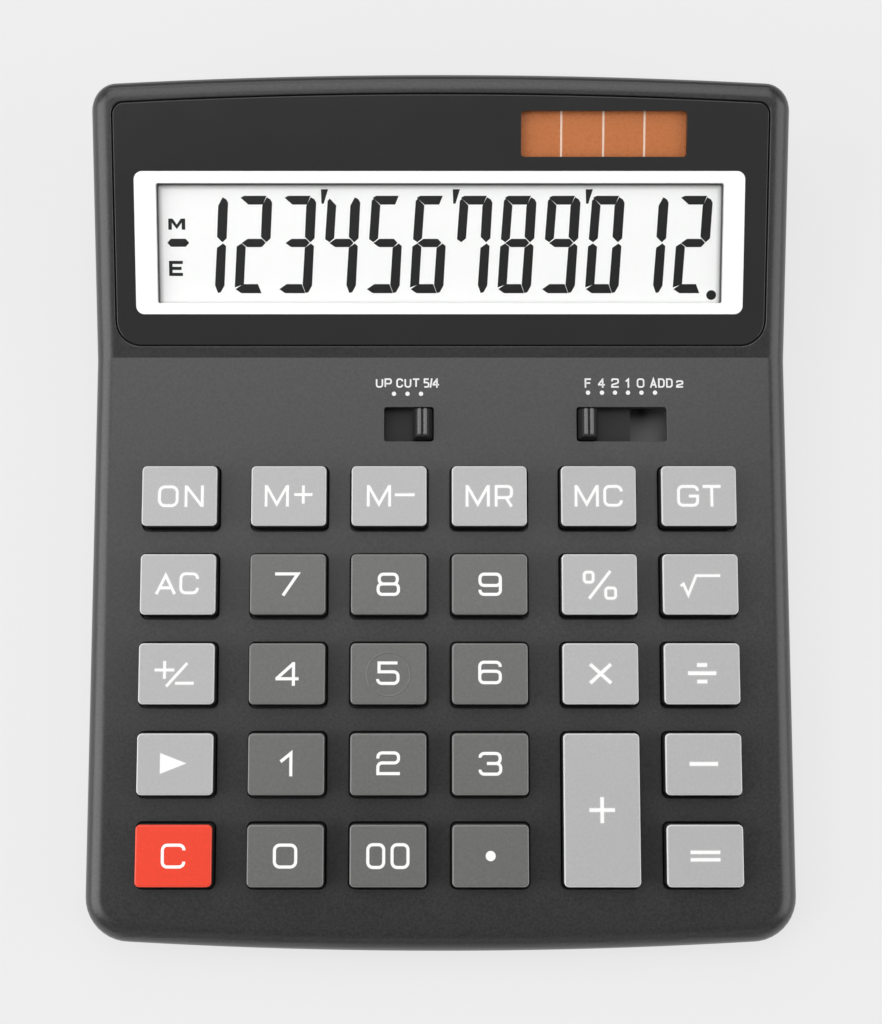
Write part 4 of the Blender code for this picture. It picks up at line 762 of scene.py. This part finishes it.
GLYPHS = {
    "O": (4.53, loop(0.29, 0.29, 4.24, 4.53, 1.25)),
    "N": (4.22, [(0, (0.29, 0), (0.29, 4.82)), (0, (3.93, 0), (3.93, 4.82)),
        (0, (0.38, 4.6), (3.84, 0.22))]),
    "M": (5.35, [(0, (0.29, 0), (0.29, 4.82)), (0, (5.06, 0), (5.06, 4.82)),
        (0, (0.41, 4.57), (2.675, 0.55), (4.94, 4.57))]),
    "R": (4.05, [(0, (0.29, 0), (0.29, 4.82)),
        (0.85, (0.29, 4.53), (3.72, 4.53), (3.72, 2.02), (0.29, 2.02)), (0, (2.5, 2.02), (3.72, 0))]),
    "C": (4.28, [(1.05, (3.99, 3.4), (3.99, 4.53), (0.29, 4.53), (0.29, 0.29), (3.99, 0.29),
        (3.99, 1.4))]),
    "G": (4.82, [(0.95, (4.53, 3.55), (4.53, 4.53), (0.29, 4.53), (0.29, 0.29), (4.53, 0.29),
        (4.53, 2.36, 0), (2.6, 2.36))]),
    "T": (4.0, [(0, (0, 4.53), (4.0, 4.53)), (0, (2.0, 0), (2.0, 4.53))]),
    "A": (4.68, [(0, (0.3, 0), (2.34, 4.2), (4.38, 0)), (0, (1.0, 1.4), (3.7, 1.4))]),
    "+": (4.1, [(0, (0, 2.7), (4.1, 2.7)), (0, (2.05, 0.65), (2.05, 4.75))]),
    "-": (4.4, [(0, (0, 2.65), (4.4, 2.65))]),
    "7": (5.6, [(0, (0, 5.02), (5.28, 5.02), (1.85, 0))]),
    "8": (5.39, loop(0.615, 2.75, 4.775, 5.02, 0.95) + loop(0.335, 0.34, 5.055, 2.75, 0.95)),
    "9": (5.39, loop(0.335, 2.4, 5.055, 5.02, 0.95)
        + [(0.95, (5.055, 3.5), (5.055, 0.34), (0.335, 0.34), (0.335, 1.4))]),
    "6": (5.39, loop(0.335, 0.34, 5.055, 2.95, 0.95)
        + [(0.95, (0.335, 1.9), (0.335, 5.02), (5.055, 5.02), (5.055, 3.95))]),
    "4": (5.62, [(0, (4.43, 0), (4.43, 5.4)), (0, (4.55, 5.22), (0.45, 1.55)),
        (0, (0.3, 1.6), (5.62, 1.6))]),
    "5": (5.39, [(1.0, (4.94, 5.02), (0.675, 5.02, 0), (0.675, 3.0, 0), (5.055, 3.0), (5.055, 0.34),
        (0.335, 0.34), (0.335, 1.35))]),
    "1": (2.9, [(0, (0.2, 3.3), (2.56, 5.2), (2.56, 0))]),
    "2": (5.39, [(0.95, (0.335, 3.75), (0.335, 5.02), (5.055, 5.02), (5.055, 2.75), (0.335, 2.75),
        (0.335, 0.34, 0), (5.39, 0.34))]),
    "3": (5.39, [(0.95, (0.335, 4.05), (0.335, 5.02), (4.935, 5.02), (4.935, 2.75), (1.9, 2.75)),
        (0.95, (1.9, 2.75), (5.055, 2.75), (5.055, 0.335), (0.335, 0.335), (0.335, 1.35))]),
    "0": (5.52, loop(0.335, 0.335, 5.185, 5.225, 1.2)),
    "o": (4.15, loop(0.335, 0.335, 3.815, 5.225, 1.1)),
    "c": (5.37, [(1.05, (5.035, 3.9), (5.035, 5.02), (0.335, 5.02), (0.335, 0.34), (5.035, 0.34),
        (5.035, 1.5))]),
}


def word(letters, gap, middle=2.41, aside=0.0, size=1.0):
    """Strokes of a row of letters about the cap's middle, or a little to one side of it."""
    x = aside / size - (sum(GLYPHS[letter][0] for letter in letters) + gap * (len(letters) - 1)) / 2
    strokes = []
    for letter in letters:
        width, lines = GLYPHS[letter]
        for radius, *points in lines:
            line = [((u + x) * size, (v - middle) * size, *own) for u, v, *own in points]
            strokes.append((radius * size, *line))
        x += width + gap
    return strokes


DIGIT_SIZE = 0.96
WORDS = {
    "on": ("ON", 1.41, 2.5, 0.35), "m_plus": ("M+", 1.2), "m_minus": ("M-", 0.9, 2.41, 0.4),
    "mr": ("MR", 1.15), "mc": ("MC", 1.07), "gt": ("GT", 0.9), "ac": ("AC", 0.75, 2.2, -0.2),
}
DIGIT_MIDDLES = {
    "7": (2.62, -0.15), "8": (2.68, -0.1), "9": (2.68, 0.1), "4": (2.75, -0.1), "5": (2.55, -0.15),
    "6": (2.38, 0.0), "1": (2.7, 0.0), "2": (2.43, 0.0), "3": (2.55, 0.0), "0": (2.78, 0.0),
}
LEGENDS = {
    **{name: (LETTER_STROKE, word(*letters)) for name, letters in WORDS.items()},
    **{name: (DIGIT_STROKE, word(name, 0, *at, DIGIT_SIZE)) for name, at in DIGIT_MIDDLES.items()},
    "00": (DIGIT_STROKE, word("oo", 1.15, 2.78)),
    "c": (DIGIT_STROKE, word("c", 0, 2.68)),
    "percent": (LETTER_STROKE, loop(-3.4, 0.45, -1.42, 2.71, 0.6)
        + loop(1.33, -3.12, 3.53, -0.82, 0.6) + [(0, (-2.35, -3.18), (2.4, 2.94))]),
    "root": (0.55, [(0, (-4.43, -0.4), (-3.8, 0.05), (-2.75, -2.35), (-0.96, 1.93), (4.4, 1.93))]),
    "sign": (LETTER_STROKE, [(0, (-4.8, 0.83), (-0.45, 0.83)), (0, (-2.6, -1.1), (-2.6, 2.8)),
        (0, (-2.19, -2.76), (2.4, 2.34)), (0, (-0.2, -2.08), (3.9, -2.08))]),
    "multiply": (0.7, [(0, (-2.3, -2.05), (2.3, 2.1)), (0, (-2.3, 2.1), (2.3, -2.05))]),
    "divide": (0.78, [(0, (-3.12, 0.12), (3.12, 0.12)), (0, (-1.12, 1.93), (1.12, 1.93)),
        (0, (-1.12, -1.71), (1.12, -1.71))]),
    "plus": (0.75, [(0, (-2.8, 0), (2.8, 0)), (0, (0, -2.8), (0, 2.8))]),
    "minus": (0.8, [(0, (-3.12, 0.1), (3.12, 0.1))]),
    "equals": (0.7, [(0, (-3.26, 0.8), (3.26, 0.8)), (0, (-3.26, -0.8), (3.26, -0.8))]),
}


def rounded_line(points, radius):
    """A bent line whose corners are rounded; a point may bring a radius of its own."""
    line = [Vector(points[0][:2])]
    for before, here, after in zip(points, points[1:], points[2:]):
        corner = Vector(here[:2])
        turn = here[2] if len(here) > 2 else radius
        if turn == 0:
            line.append(corner)
            continue
        back = (Vector(before[:2]) - corner).normalized()
        on = (Vector(after[:2]) - corner).normalized()
        half = back.angle(on) / 2
        middle = corner + (back + on).normalized() * turn / sin(half)
        spoke = corner + back * turn / tan(half) - middle
        sweep = -spoke.angle_signed(corner + on * turn / tan(half) - middle)
        for step in range(BEND_STEPS + 1):
            line.append(middle + Matrix.Rotation(sweep * step / BEND_STEPS, 2) @ spoke)
    return line + [Vector(points[-1][:2])]


def ribbon(line, width):
    """The outline of a line drawn with a broad pen."""
    left, right = [], []
    for index, point in enumerate(line):
        ways = [
            (end - start).normalized()
            for start, end in zip(line[max(0, index - 1):index + 1], line[max(1, index):index + 2])
        ]
        way = sum(ways, Vector((0, 0))).normalized()
        across = Vector((-way.y, way.x)) * width / 2 / way.dot(ways[0])
        left.append(point + across)
        right.append(point - across)
    return left + right[::-1]


def legend_outlines(name, widen):
    """Every stroke of a key's legend as an outline in metres, drawn a little wider if asked."""
    if name == "point":
        radius, turns = 1.1 + widen / 2, [pi * turn / 16 for turn in range(32)]
        outlines = [[(radius * cos(turn), radius * sin(turn)) for turn in turns]]
    elif name == "back":
        left = -3.2 - widen / 2
        outlines = [[(left, 2.4 + widen), (left, -2.0 - widen), (2.5 + widen, 0.2)]]
    else:
        width, strokes = LEGENDS[name]
        outlines = [ribbon(rounded_line(points, radius), width + widen) for radius, *points in strokes]
    return [[(x / 1000, y / 1000) for x, y in outline] for outline in outlines]


def inked(name, dark, light, gloss, scale, detail=2.0, relief=None):
    """Ink or thin film: fine flecks in its colour and gloss, which may stand out a little."""
    finish = Finish(name)
    fleck = finish.noise(finish.place(), scale, detail)
    finish.set(Base_Color=finish.mix(fleck, dark, light), Roughness=gloss + 0.1 * fleck)
    if relief:
        finish.bump(fleck, *relief)
    return finish.material


WHITE_INK = ((0.9, 0.9, 0.89, 1), (0.96, 0.96, 0.95, 1))
LEGEND_WHITE = inked("legend_white", *WHITE_INK, 0.45, 2500.0, relief=(0.2, 0.00001))
DIGITS = ("0", "00", "1", "2", "3", "4", "5", "6", "7", "8", "9", "point")
caps = {depth: key_cap(depth) for depth in (KEY_DEPTH, KEY_DEPTH + ROW_PITCH)}
for name, (x, along, depth) in KEY_PLACES.items():
    pick(caps[depth])
    bpy.ops.object.duplicate()
    cap = bpy.context.object
    cap.name = "cap_" + name
    if name == "5":
        bpy.ops.mesh.primitive_torus_add(
            major_radius=0.0048, minor_radius=0.00026, major_segments=64, minor_segments=12,
            location=(0, -0.0001, KEY_TOP - 0.0001),
        )
        bpy.ops.object.transform_apply(location=True, rotation=True, scale=True)
        weld(cap, bpy.context.object)
    grooves = [block("groove", line, *GROOVE_SPAN) for line in legend_outlines(name, GROOVE_MARGIN)]
    cut(cap, *grooves, crossing=True)
    legend = block("legend_" + name, round_box((0, 0), 0.014, 0.012, 0.001), *LEGEND_SPAN)
    strokes = [block("stroke", line, *STROKE_SPAN) for line in legend_outlines(name, 0)]
    work(legend, strokes, "INTERSECT", True)
    for piece in (cap, legend):
        set_in(piece, DECK @ Matrix.Translation((x, along, 0)))
        shade(piece)
    plastic, slot = LIGHT_PLASTIC, "key_light_grey"
    if name == "c":
        plastic, slot = RED_PLASTIC, "key_red"
    elif name in DIGITS:
        plastic, slot = DARK_PLASTIC, "key_dark_grey"
    fit(cap, plastic, slot, "key_" + name, body="key_" + name)
    fit(legend, LEGEND_WHITE, "holder_white", body="key_" + name)
for cap in caps.values():
    bpy.data.objects.remove(cap)


# Slide switches: each knob is a black moulding with two grip ribs, whose lighter grey is a painted
# highlight.
# Its wide carrier slides under the deck and closes the slot, and a sprung bridge below it rides on the
# board.
CARRIER_TOP = -0.0023
CARRIER_LOW = -0.0033
GRIP_FOOT = 0.0028
GRIP_TOP = 0.0024
RIB_TOP = 0.003
KNOB_PLASTIC = moulded("knob_plastic", (0.005, 0.005, 0.005), 0.6, 2600.0, 0.00002, mottle=0.04)
# Painted highlight: the ribs are lighter grey to stand for the light they catch.
RIB_HIGHLIGHT_PLASTIC = moulded("rib_painted_highlight", (0.1, 0.1, 0.1), 0.16, 2600.0, 0.00001, wear_and_highlight=0.5, mottle=0.06)
recoat(SPRING_METAL, "switch_wiper_left", "switch_wiper_right")
for side, x in (("left", -0.00415), ("right", 0.03345)):
    knob = block("slide_" + side, round_box((0, 0), 0.0196, 0.0102, 0.0003, 2), -0.0069, CARRIER_TOP)
    cut(knob, block("channel", round_box((0, 0), 0.022, 0.0086, 0.0001, 1), -0.008, CARRIER_LOW))
    grip = raised(
        "grip", round_box((0, 0), 0.0044, 0.0072, 0.0006), -GRIP_FOOT,
        [(GRIP_FOOT,), (GRIP_TOP, 0.0029 / 0.0044, 0.0064 / 0.0072)],
    )
    round_top(grip, GRIP_TOP, 0.0002, 3)
    weld(knob, grip)
    ribs = []
    for place in (-0.00066, 0.00066):
        rib = block("rib", round_box((place, 0.0002), 0.0009, 0.0062, 0.0004, 3), 0.00235, RIB_TOP)
        round_top(rib, RIB_TOP, 0.00035, 4)
        ribs.append(rib)
    ribs = together("ribs_" + side, ribs)
    for piece, finish in ((knob, KNOB_PLASTIC), (ribs, RIB_HIGHLIGHT_PLASTIC)):
        set_in(piece, DECK @ Matrix.Translation((x, SWITCH_MIDDLE, 0)))
        shade(piece)
        fit(piece, finish, "knob_black", body="switch_" + side)
    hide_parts("switch_knob_" + side)


# Display: a liquid crystal panel held by a white frame under the display face. Its front glass rises
# into the window and ends close below the lens, and its segments are a dark film on that glass. Painted
# shadow greys the glass's rear and side borders, a dark gasket stands in for the shade along the
# window's top and sides, and a faint painted glow brightens the panel. A ribbon joins it to the board.
PANEL_TOP = -0.0018
CELL_TOP = -0.0035
GLASS_LEFT = 0.06402
GLASS_RIGHT = 0.06362
GLASS_REAR = 0.03885
# Width of the painted shadow along the panel's rear and side borders.
SHADOW_WIDTH = 0.0011
glass = block("panel_glass", round_box((0, 0.0252), 0.136, 0.0332, 0.0003, 1), -0.0055, CELL_TOP)
front_outline = round_box(PANEL_MIDDLE, 0.1304, 0.0282, 0.0008)
front = block("front_glass", front_outline, -0.004, PANEL_TOP)
round_top(front, PANEL_TOP, 0.0001, 1)
weld(glass, front)
set_in(glass, DISPLAY)
shade(glass)
panel = Finish("crystal_glass")
where = panel.place((0, -CREASE_Y, -CREASE_HEIGHT))
fleck = panel.noise(where, 2400.0, 3.0)
cloud = panel.noise(where, 25.0)
along = panel.dot(where, (0, cos(DISPLAY_SLOPE), sin(DISPLAY_SLOPE)))
across = panel.add("SeparateXYZ", {}, {"Vector": where}, "X")
lesser = {"operation": "MINIMUM"}
inwards = panel.add("Math", lesser, {0: across + GLASS_LEFT, 1: GLASS_RIGHT - across})
inwards = panel.add("Math", lesser, {0: GLASS_REAR - along, 1: inwards})
# Painted shadow: the panel's rear and side borders are painted grey where the window's edge shades
# them.
painted_shadow = panel.spread(inwards, 0.0, SHADOW_WIDTH)
clear = panel.mix(0.5 * fleck + 0.5 * cloud, (0.9, 0.91, 0.9, 1), (0.96, 0.965, 0.955, 1))
panel.set(
    Base_Color=panel.mix(painted_shadow ** 0.6, (0.26, 0.26, 0.26, 1), clear),
    Roughness=0.3 + 0.15 * fleck,
    # A faint painted glow: the panel gives off a little light of its own.
    Emission_Color=(0.9, 0.91, 0.9, 1),
    Emission_Strength=0.04,
)
panel.bump(fleck, 0.2, 0.00001)
fit(glass, panel.material, "lcd_grey", "lcd_panel")
# Painted shade: a dark foam ring whose thin edge shows at the window's top and sides, where the
# window's edge shades the panel.
shade_gasket = block("panel_shade_gasket", front_outline, PANEL_TOP, PANEL_TOP + 0.0003)
opening = round_box((-0.0002, 0.02548), 0.12764, 0.02674, 0.0006)
cut(shade_gasket, block("opening", opening, -0.003, 0.001))
set_in(shade_gasket, DISPLAY)
shade_foam = moulded("shade_gasket_foam", (0.1, 0.1, 0.1), 0.6, 2400.0, 0.00004, wear_and_highlight=0.1)
fit(shade_gasket, shade_foam, "rubber_black")
white = moulded("holder_plastic", (0.75, 0.75, 0.74), 0.45, 1800.0, 0.00002, wear_and_highlight=0.1, mottle=0.02)
recoat(white, "lcd_holder")
film = Finish("ribbon_film")
tracks = film.add(
    "TexWave", {"bands_direction": "X"}, {"Vector": film.place(), "Scale": 260.0, "Distortion": 0.0}
)
film.set(
    Base_Color=film.mix(film.spread(tracks, 0.45, 0.6), (0.45, 0.22, 0.05, 1), (0.3, 0.12, 0.03, 1)),
    Roughness=0.3 + 0.1 * tracks,
)
film.bump(tracks, 0.3, 0.00003)
recoat(film.material, "lcd_ribbon")
SEGMENTS = {
    "a": ((0.46, 21.0), (1.1, 21.35), (5.8, 21.35), (5.2, 19.6), (2.1, 19.6)),
    "b": ((6.03, 21.0), (6.75, 20.6), (7.15, 19.9), (7.2, 12.1), (6.4, 11.3), (5.25, 12.4),
        (5.2, 19.2)),
    "c": ((5.35, 9.9), (6.55, 10.8), (7.15, 10.3), (7.2, 1.6), (6.5, 0.15), (6.0, 0.0), (5.3, 1.7)),
    "d": ((0.3, 0.75), (1.75, 1.8), (4.95, 1.8), (5.75, -0.05), (1.5, -0.05)),
    "e": ((0.05, 1.25), (0.05, 10.2), (0.98, 10.8), (1.85, 10.15), (1.85, 1.95)),
    "f": ((0.1, 11.9), (0.2, 20.3), (0.55, 20.7), (1.95, 19.3), (1.88, 12.1), (0.99, 11.3)),
    "g": ((1.15, 11.0), (2.3, 11.85), (5.4, 11.85), (6.15, 11.05), (5.4, 10.2), (2.3, 10.2)),
}
LIT = {
    "0": "abcdef", "1": "bc", "2": "abged", "3": "abgcd", "4": "fgbc", "5": "afgcd", "6": "afgedc",
    "7": "fabc", "8": "abcdefg", "9": "abfgcd",
}
FIRST_DIGIT = (-56.7, 14.72)
DIGIT_PITCH = 9.94
DIGIT_STRETCH = (1.035, 1.009)
DIGIT_LEAN = 0.062
EYE = (-1.31, 8.1)
DEEPER = 1.0048
SMALL_MARKS = (
    ((-61.86, 25.89), (-61.02, 24.99), (-57.72, 24.99), (-56.89, 25.89), (-57.72, 26.79),
     (-61.02, 26.79)),
    ((-61.55, 18.46), (-61.55, 21.84), (-58.43, 21.84), (-58.43, 21.14), (-60.78, 21.14),
     (-60.78, 20.5), (-58.73, 20.5), (-58.73, 19.8), (-60.78, 19.8), (-60.78, 19.16),
     (-58.43, 19.16), (-58.43, 18.46)),
    ((-61.55, 28.81), (-61.55, 31.28), (-60.57, 31.28), (-59.64, 29.95), (-58.71, 31.28),
     (-57.73, 31.28), (-57.73, 28.81), (-58.52, 28.81), (-58.52, 30.4), (-59.64, 28.95),
     (-60.76, 30.4), (-60.76, 28.81)),
)


def in_panel(outline):
    """Where an outline seen in the lens's face lies on the deeper panel, in metres."""
    return [[(eye + (at - eye) * DEEPER) / 1000 for eye, at in zip(EYE, point)] for point in outline]


def thickened(outline, spread):
    """The same outline with every edge moved out a little."""
    points = [Vector(point) for point in outline]
    area = sum(a.x * b.y - a.y * b.x for a, b in zip(points, points[1:] + points[:1]))
    grown = []
    for before, here, after in zip(points[-1:] + points[:-1], points, points[1:] + points[:1]):
        ins, outs = (here - before).normalized(), (after - here).normalized()
        side = Vector((ins.y + outs.y, -ins.x - outs.x)) * (1 if area > 0 else -1)
        grown.append(tuple(here + side * spread / max(0.6, 1 + ins.dot(outs))))
    return grown


marks = []
for place, digit in enumerate("123456789012"):
    left, foot = FIRST_DIGIT[0] + DIGIT_PITCH * place, FIRST_DIGIT[1]
    wider, taller = DIGIT_STRETCH
    for bar in LIT[digit]:
        outline = [(left + wider * u + DIGIT_LEAN * v, foot + taller * v) for u, v in SEGMENTS[bar]]
        marks.append(thickened(outline, 0.09))
turns = [pi * turn / 12 for turn in range(24)]
marks.append([(61.43 + 1.12 * cos(turn), 14.16 + 1.1 * sin(turn)) for turn in turns])
for x in (-26.25, 3.48, 33.45):
    marks.append([(x - 0.75, 37.8), (x + 0.85, 37.8), (x - 0.15, 34.6), (x - 0.65, 34.6)])
faces = (PANEL_TOP, PANEL_TOP + 0.00003)
marks = [block("mark", in_panel(outline), *faces) for outline in (*marks, *SMALL_MARKS)]
digits = set_in(together("panel_digits", marks), DISPLAY)
DARK_FILM = ((0.004, 0.004, 0.0045, 1), (0.008, 0.008, 0.0085, 1))
crystal = inked("lit_segments", *DARK_FILM, 0.35, 1800.0, relief=(0.1, 0.000005))
fit(digits, crystal, "lens_black")


# Solar cell: a thin glass with a copper-brown film, split by three pale contact lines, and two thin
# leads to the board.
sun = Finish("solar_film")
cloud = sun.noise(sun.place(), 60.0, 3.0)
fleck = sun.noise(sun.place(), 1500.0)
sun.set(
    Base_Color=sun.mix(0.7 * cloud + 0.3 * fleck, (0.5, 0.16, 0.05, 1), (0.59, 0.192, 0.063, 1)),
    Roughness=0.22 + 0.12 * fleck,
)
sun.bump(fleck, 0.1, 0.00001)
recoat(sun.material, "solar_cell")
SUN_TOP = -0.0016
pane = block("solar_glass", round_box(SUN_MIDDLE, 0.0382, 0.0107, 0.0008), CELL_TOP + 0.00005, SUN_TOP)
fit(set_in(pane, DISPLAY), sun.material, "solar_copper")
lines = [
    block("line", round_box((x, SUN_MIDDLE[1]), 0.00045, 0.0106, 0.0001, 1), SUN_TOP, SUN_TOP + 0.00002)
    for x in (0.02718, 0.03667, 0.04593)
]
silver = inked("contact_lines", (0.8, 0.58, 0.47, 1), (0.92, 0.7, 0.58, 1), 0.35, 2000.0)
fit(set_in(together("cell_lines", lines), DISPLAY), silver, "solar_copper")
WIRE = (0.4, 900.0, 0.00003, 0.1)
recoat(moulded("red_wire", (0.6, 0.035, 0.025), *WIRE), "solar_lead_positive")
recoat(moulded("black_wire", (0.018, 0.018, 0.018), *WIRE), "solar_lead_negative")


# Lens: a clear acrylic plate in the recess, printed black on its back. The print leaves a window for
# the panel, with a white border round it, and a smaller one for the solar cell.
LENS_TOP = -0.0001
LENS_LOW = -0.0013


def glossy(name, dark, light, gloss):
    """Polished acrylic over print: a faint haze and a very slight unevenness."""
    finish = Finish(name)
    haze = finish.noise(finish.place(), 60.0, 3.0)
    dust = finish.noise(finish.place(), 2600.0)
    finish.set(
        Base_Color=finish.mix(0.5 * haze + 0.5 * dust, dark, light),
        Roughness=gloss + 0.05 * haze + 0.03 * dust,
        IOR=1.49,
    )
    finish.bump(finish.noise(finish.place(), 9.0, 1.0), 0.05, 0.0002)
    return finish


WHITE_BORDER = round_box((-0.00028, 0.025855), 0.13784, 0.03201, 0.00185)
PANEL_WINDOW = round_box((-0.00018, 0.02577), 0.12824, 0.02686, 0.0005)
SOLAR_WINDOW = round_box((0.03669, 0.05009), 0.03728, 0.01016, 0.0008)
CLEARANCE = (-0.003, 0.001)
lens = block("lens", recess_outline(0.0003), LENS_LOW, LENS_TOP)
round_top(lens, LENS_TOP, EDGE_BREAK, 4)
cut(lens, *(block("opening", line, *CLEARANCE) for line in (WHITE_BORDER, SOLAR_WINDOW)))
border = block("lens_border", WHITE_BORDER, LENS_LOW, LENS_TOP)
cut(border, block("opening", PANEL_WINDOW, *CLEARANCE))
panes = [block("pane", line, LENS_LOW, LENS_TOP) for line in (PANEL_WINDOW, SOLAR_WINDOW)]
panes = together("lens_windows", panes)
black = glossy("printed_black", (0.024, 0.024, 0.0245, 1), (0.031, 0.031, 0.0315, 1), 0.12)
white = glossy("printed_white", (0.95, 0.95, 0.95, 1), (0.98, 0.98, 0.98, 1), 0.12)
clear = glossy("clear_acrylic", (0.02, 0.02, 0.02, 1), (0.03, 0.03, 0.03, 1), 0.06)
clear.set(Alpha=0.025)
for piece, finish, slot in (
    (lens, black, "lens_black"), (border, white, "holder_white"), (panes, clear, "lcd_grey"),
):
    set_in(piece, DISPLAY)
    shade(piece)
    fit(piece, finish.material, slot)
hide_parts("display_lens")


# Deck printing: the scales of the two switches, pad printed in pale grey on the deck, with a dot for
# each place of the knob.
SCALES = (
    ("UP", -0.01475, -0.0108), ("CUT", -0.0101, -0.0045), ("5", -0.0039, -0.00255),
    ("/", -0.00262, -0.00172), ("4", -0.00195, -0.0003),
    ("F", 0.03279, 0.0343), ("4", 0.03574, 0.03744), ("2", 0.03883, 0.04058), ("1", 0.04185, 0.04335),
    ("0", 0.04465, 0.0464), ("ADD", 0.04768, 0.05314), ("2", 0.0536, 0.05524),
)
SCALE_STROKE = 0.36
SCALE_FOOT = -6.95
PRINT_FACES = (-0.00002, 0.00002)
SHORT_LETTERS = {
    "U": [(0.5, (0, 1), (0, 0), (1, 0), (1, 1))],
    "P": [(0.4, (0, 0), (0, 1, 0), (1, 1), (1, 0.42), (0, 0.42))],
    "C": [(0.5, (1, 0.72), (1, 1), (0, 1), (0, 0), (1, 0), (1, 0.28))],
    "T": [(0, (-0.1, 1), (1.1, 1)), (0, (0.5, 0), (0.5, 1))],
    "5": [(0.4, (1, 1), (0.05, 1, 0), (0.05, 0.56, 0), (1, 0.56), (1, 0), (0, 0))],
    "/": [(0, (0.2, -0.1), (0.8, 1.1))],
    "4": [(0, (0.72, -0.1), (0.72, 1.1)), (0, (0.72, 1), (0, 0.28)), (0, (-0.05, 0.28), (1.1, 0.28))],
    "F": [(0, (0, -0.1), (0, 1.1)), (0, (0, 1), (1.1, 1)), (0, (0, 0.5), (0.95, 0.5))],
    "2": [(0.25, (0, 0.72), (0, 1), (1, 1), (1, 0.52), (0, 0.28), (0, 0, 0), (1.1, 0))],
    "1": [(0, (0.1, 0.7), (0.62, 1), (0.62, -0.1))],
    "0": loop(0, 0, 1, 1, 0.45),
    "A": [(0, (-0.05, -0.1), (0.5, 1), (1.05, -0.1)), (0, (0.2, 0.28), (0.8, 0.28))],
    "D": [(0.5, (0, 0), (0, 1, 0), (1, 1), (1, 0), (-0.1, 0))],
}
prints = []
for number, (text, low, high) in enumerate(SCALES):
    pitch = (high - low) * 1000 / len(text)
    wide = pitch - (0.3 if len(text) > 1 else 0) - SCALE_STROKE
    tall = (1.7 if number == len(SCALES) - 1 else 2.15) - SCALE_STROKE
    for index, letter in enumerate(text):
        x, along = low * 1000 + index * pitch + SCALE_STROKE / 2, SCALE_FOOT + SCALE_STROKE / 2
        for radius, *points in SHORT_LETTERS[letter]:
            line = [(x + u * wide, along + v * tall, *own) for u, v, *own in points]
            outline = ribbon(rounded_line(line, radius), SCALE_STROKE)
            prints.append(block("letter", [(u / 1000, v / 1000) for u, v in outline], *PRINT_FACES))
dots = [(x, -0.00836) for x in (-0.01061, -0.00754, -0.00447)]
dots += [(x, -0.0081) for x in (0.03353, 0.03671, 0.03967, 0.04263, 0.0457, 0.04877)]
prints += [pin("dot", 0.0005, *PRINT_FACES, *place, 24) for place in dots]
PALE_INK = ((0.7, 0.7, 0.7, 1), (0.84, 0.84, 0.84, 1))
paint = inked("pad_print", *PALE_INK, 0.5, 2600.0, 3.0, (0.3, 0.00001))
fit(set_in(together("switch_scales", prints), DECK), paint, "holder_white")


# Table, light and camera: a plain pale table, a broad soft light that hangs over and behind the
# display, a softer one on either side, a faint one in front, and the camera above the front keys.
bpy.ops.mesh.primitive_plane_add(size=6.0, location=(0, 0, -0.0001))
table = bpy.context.object
table.name = "table"
TABLE_GREY = (0.84, 0.84, 0.84, 1)
paper = Finish("table_paper")
paper.set(Base_Color=TABLE_GREY, Roughness=0.9)
pale = paper.add("Emission", {}, {"Color": TABLE_GREY, "Strength": 1.0})
seen = paper.add("LightPath", {}, {}, "Is Camera Ray")
mirrored = paper.add("LightPath", {}, {}, "Is Glossy Ray")
shaded = Level(paper, paper.shader.outputs[0])
surface = paper.add("MixShader", {}, {0: (seen + mirrored) * 0.85, 1: shaded, 2: pale})
paper.tree.links.new(surface.socket, paper.tree.nodes["Material Output"].inputs["Surface"])
table.data.materials.append(paper.material)

scene = bpy.context.scene
scene.view_settings.view_transform = "Standard"
world = bpy.data.worlds.new("studio")
world.use_nodes = True
backdrop = world.node_tree.nodes["Background"].inputs
backdrop["Color"].default_value = (1, 1, 1, 1)
backdrop["Strength"].default_value = 0.05
scene.world = world


def lamp(name, place, size, power):
    """A soft box that faces the middle of the table."""
    light = bpy.data.lights.new(name, "AREA")
    light.shape = "RECTANGLE"
    light.size, light.size_y = size
    light.energy = power
    box = bpy.data.objects.new(name, light)
    box.location = place
    box.rotation_euler = (-Vector(place)).to_track_quat("-Z", "Y").to_euler()
    scene.collection.objects.link(box)


lamp("rear_softbox", (-0.1, 0.72, 1.2), (1.5, 1.6), 16.0)
lamp("left_softbox", (-0.95, -0.15, 0.55), (1.0, 1.0), 11.0)
lamp("right_softbox", (0.95, -0.15, 0.5), (1.0, 0.9), 7.0)
lamp("front_softbox", (0, -1.2, 0.45), (1.4, 0.5), 1.0)

camera = bpy.data.cameras.new("camera")
camera.lens = 57.76
camera.sensor_width = 36
camera.shift_x = 0.00598
camera.shift_y = -0.0006
viewer = bpy.data.objects.new("camera", camera)
viewer.location = (-0.00131, -0.05436, 0.38199)
viewer.rotation_euler = (radians(8.421), 0, 0)
scene.collection.objects.link(viewer)
scene.camera = viewer
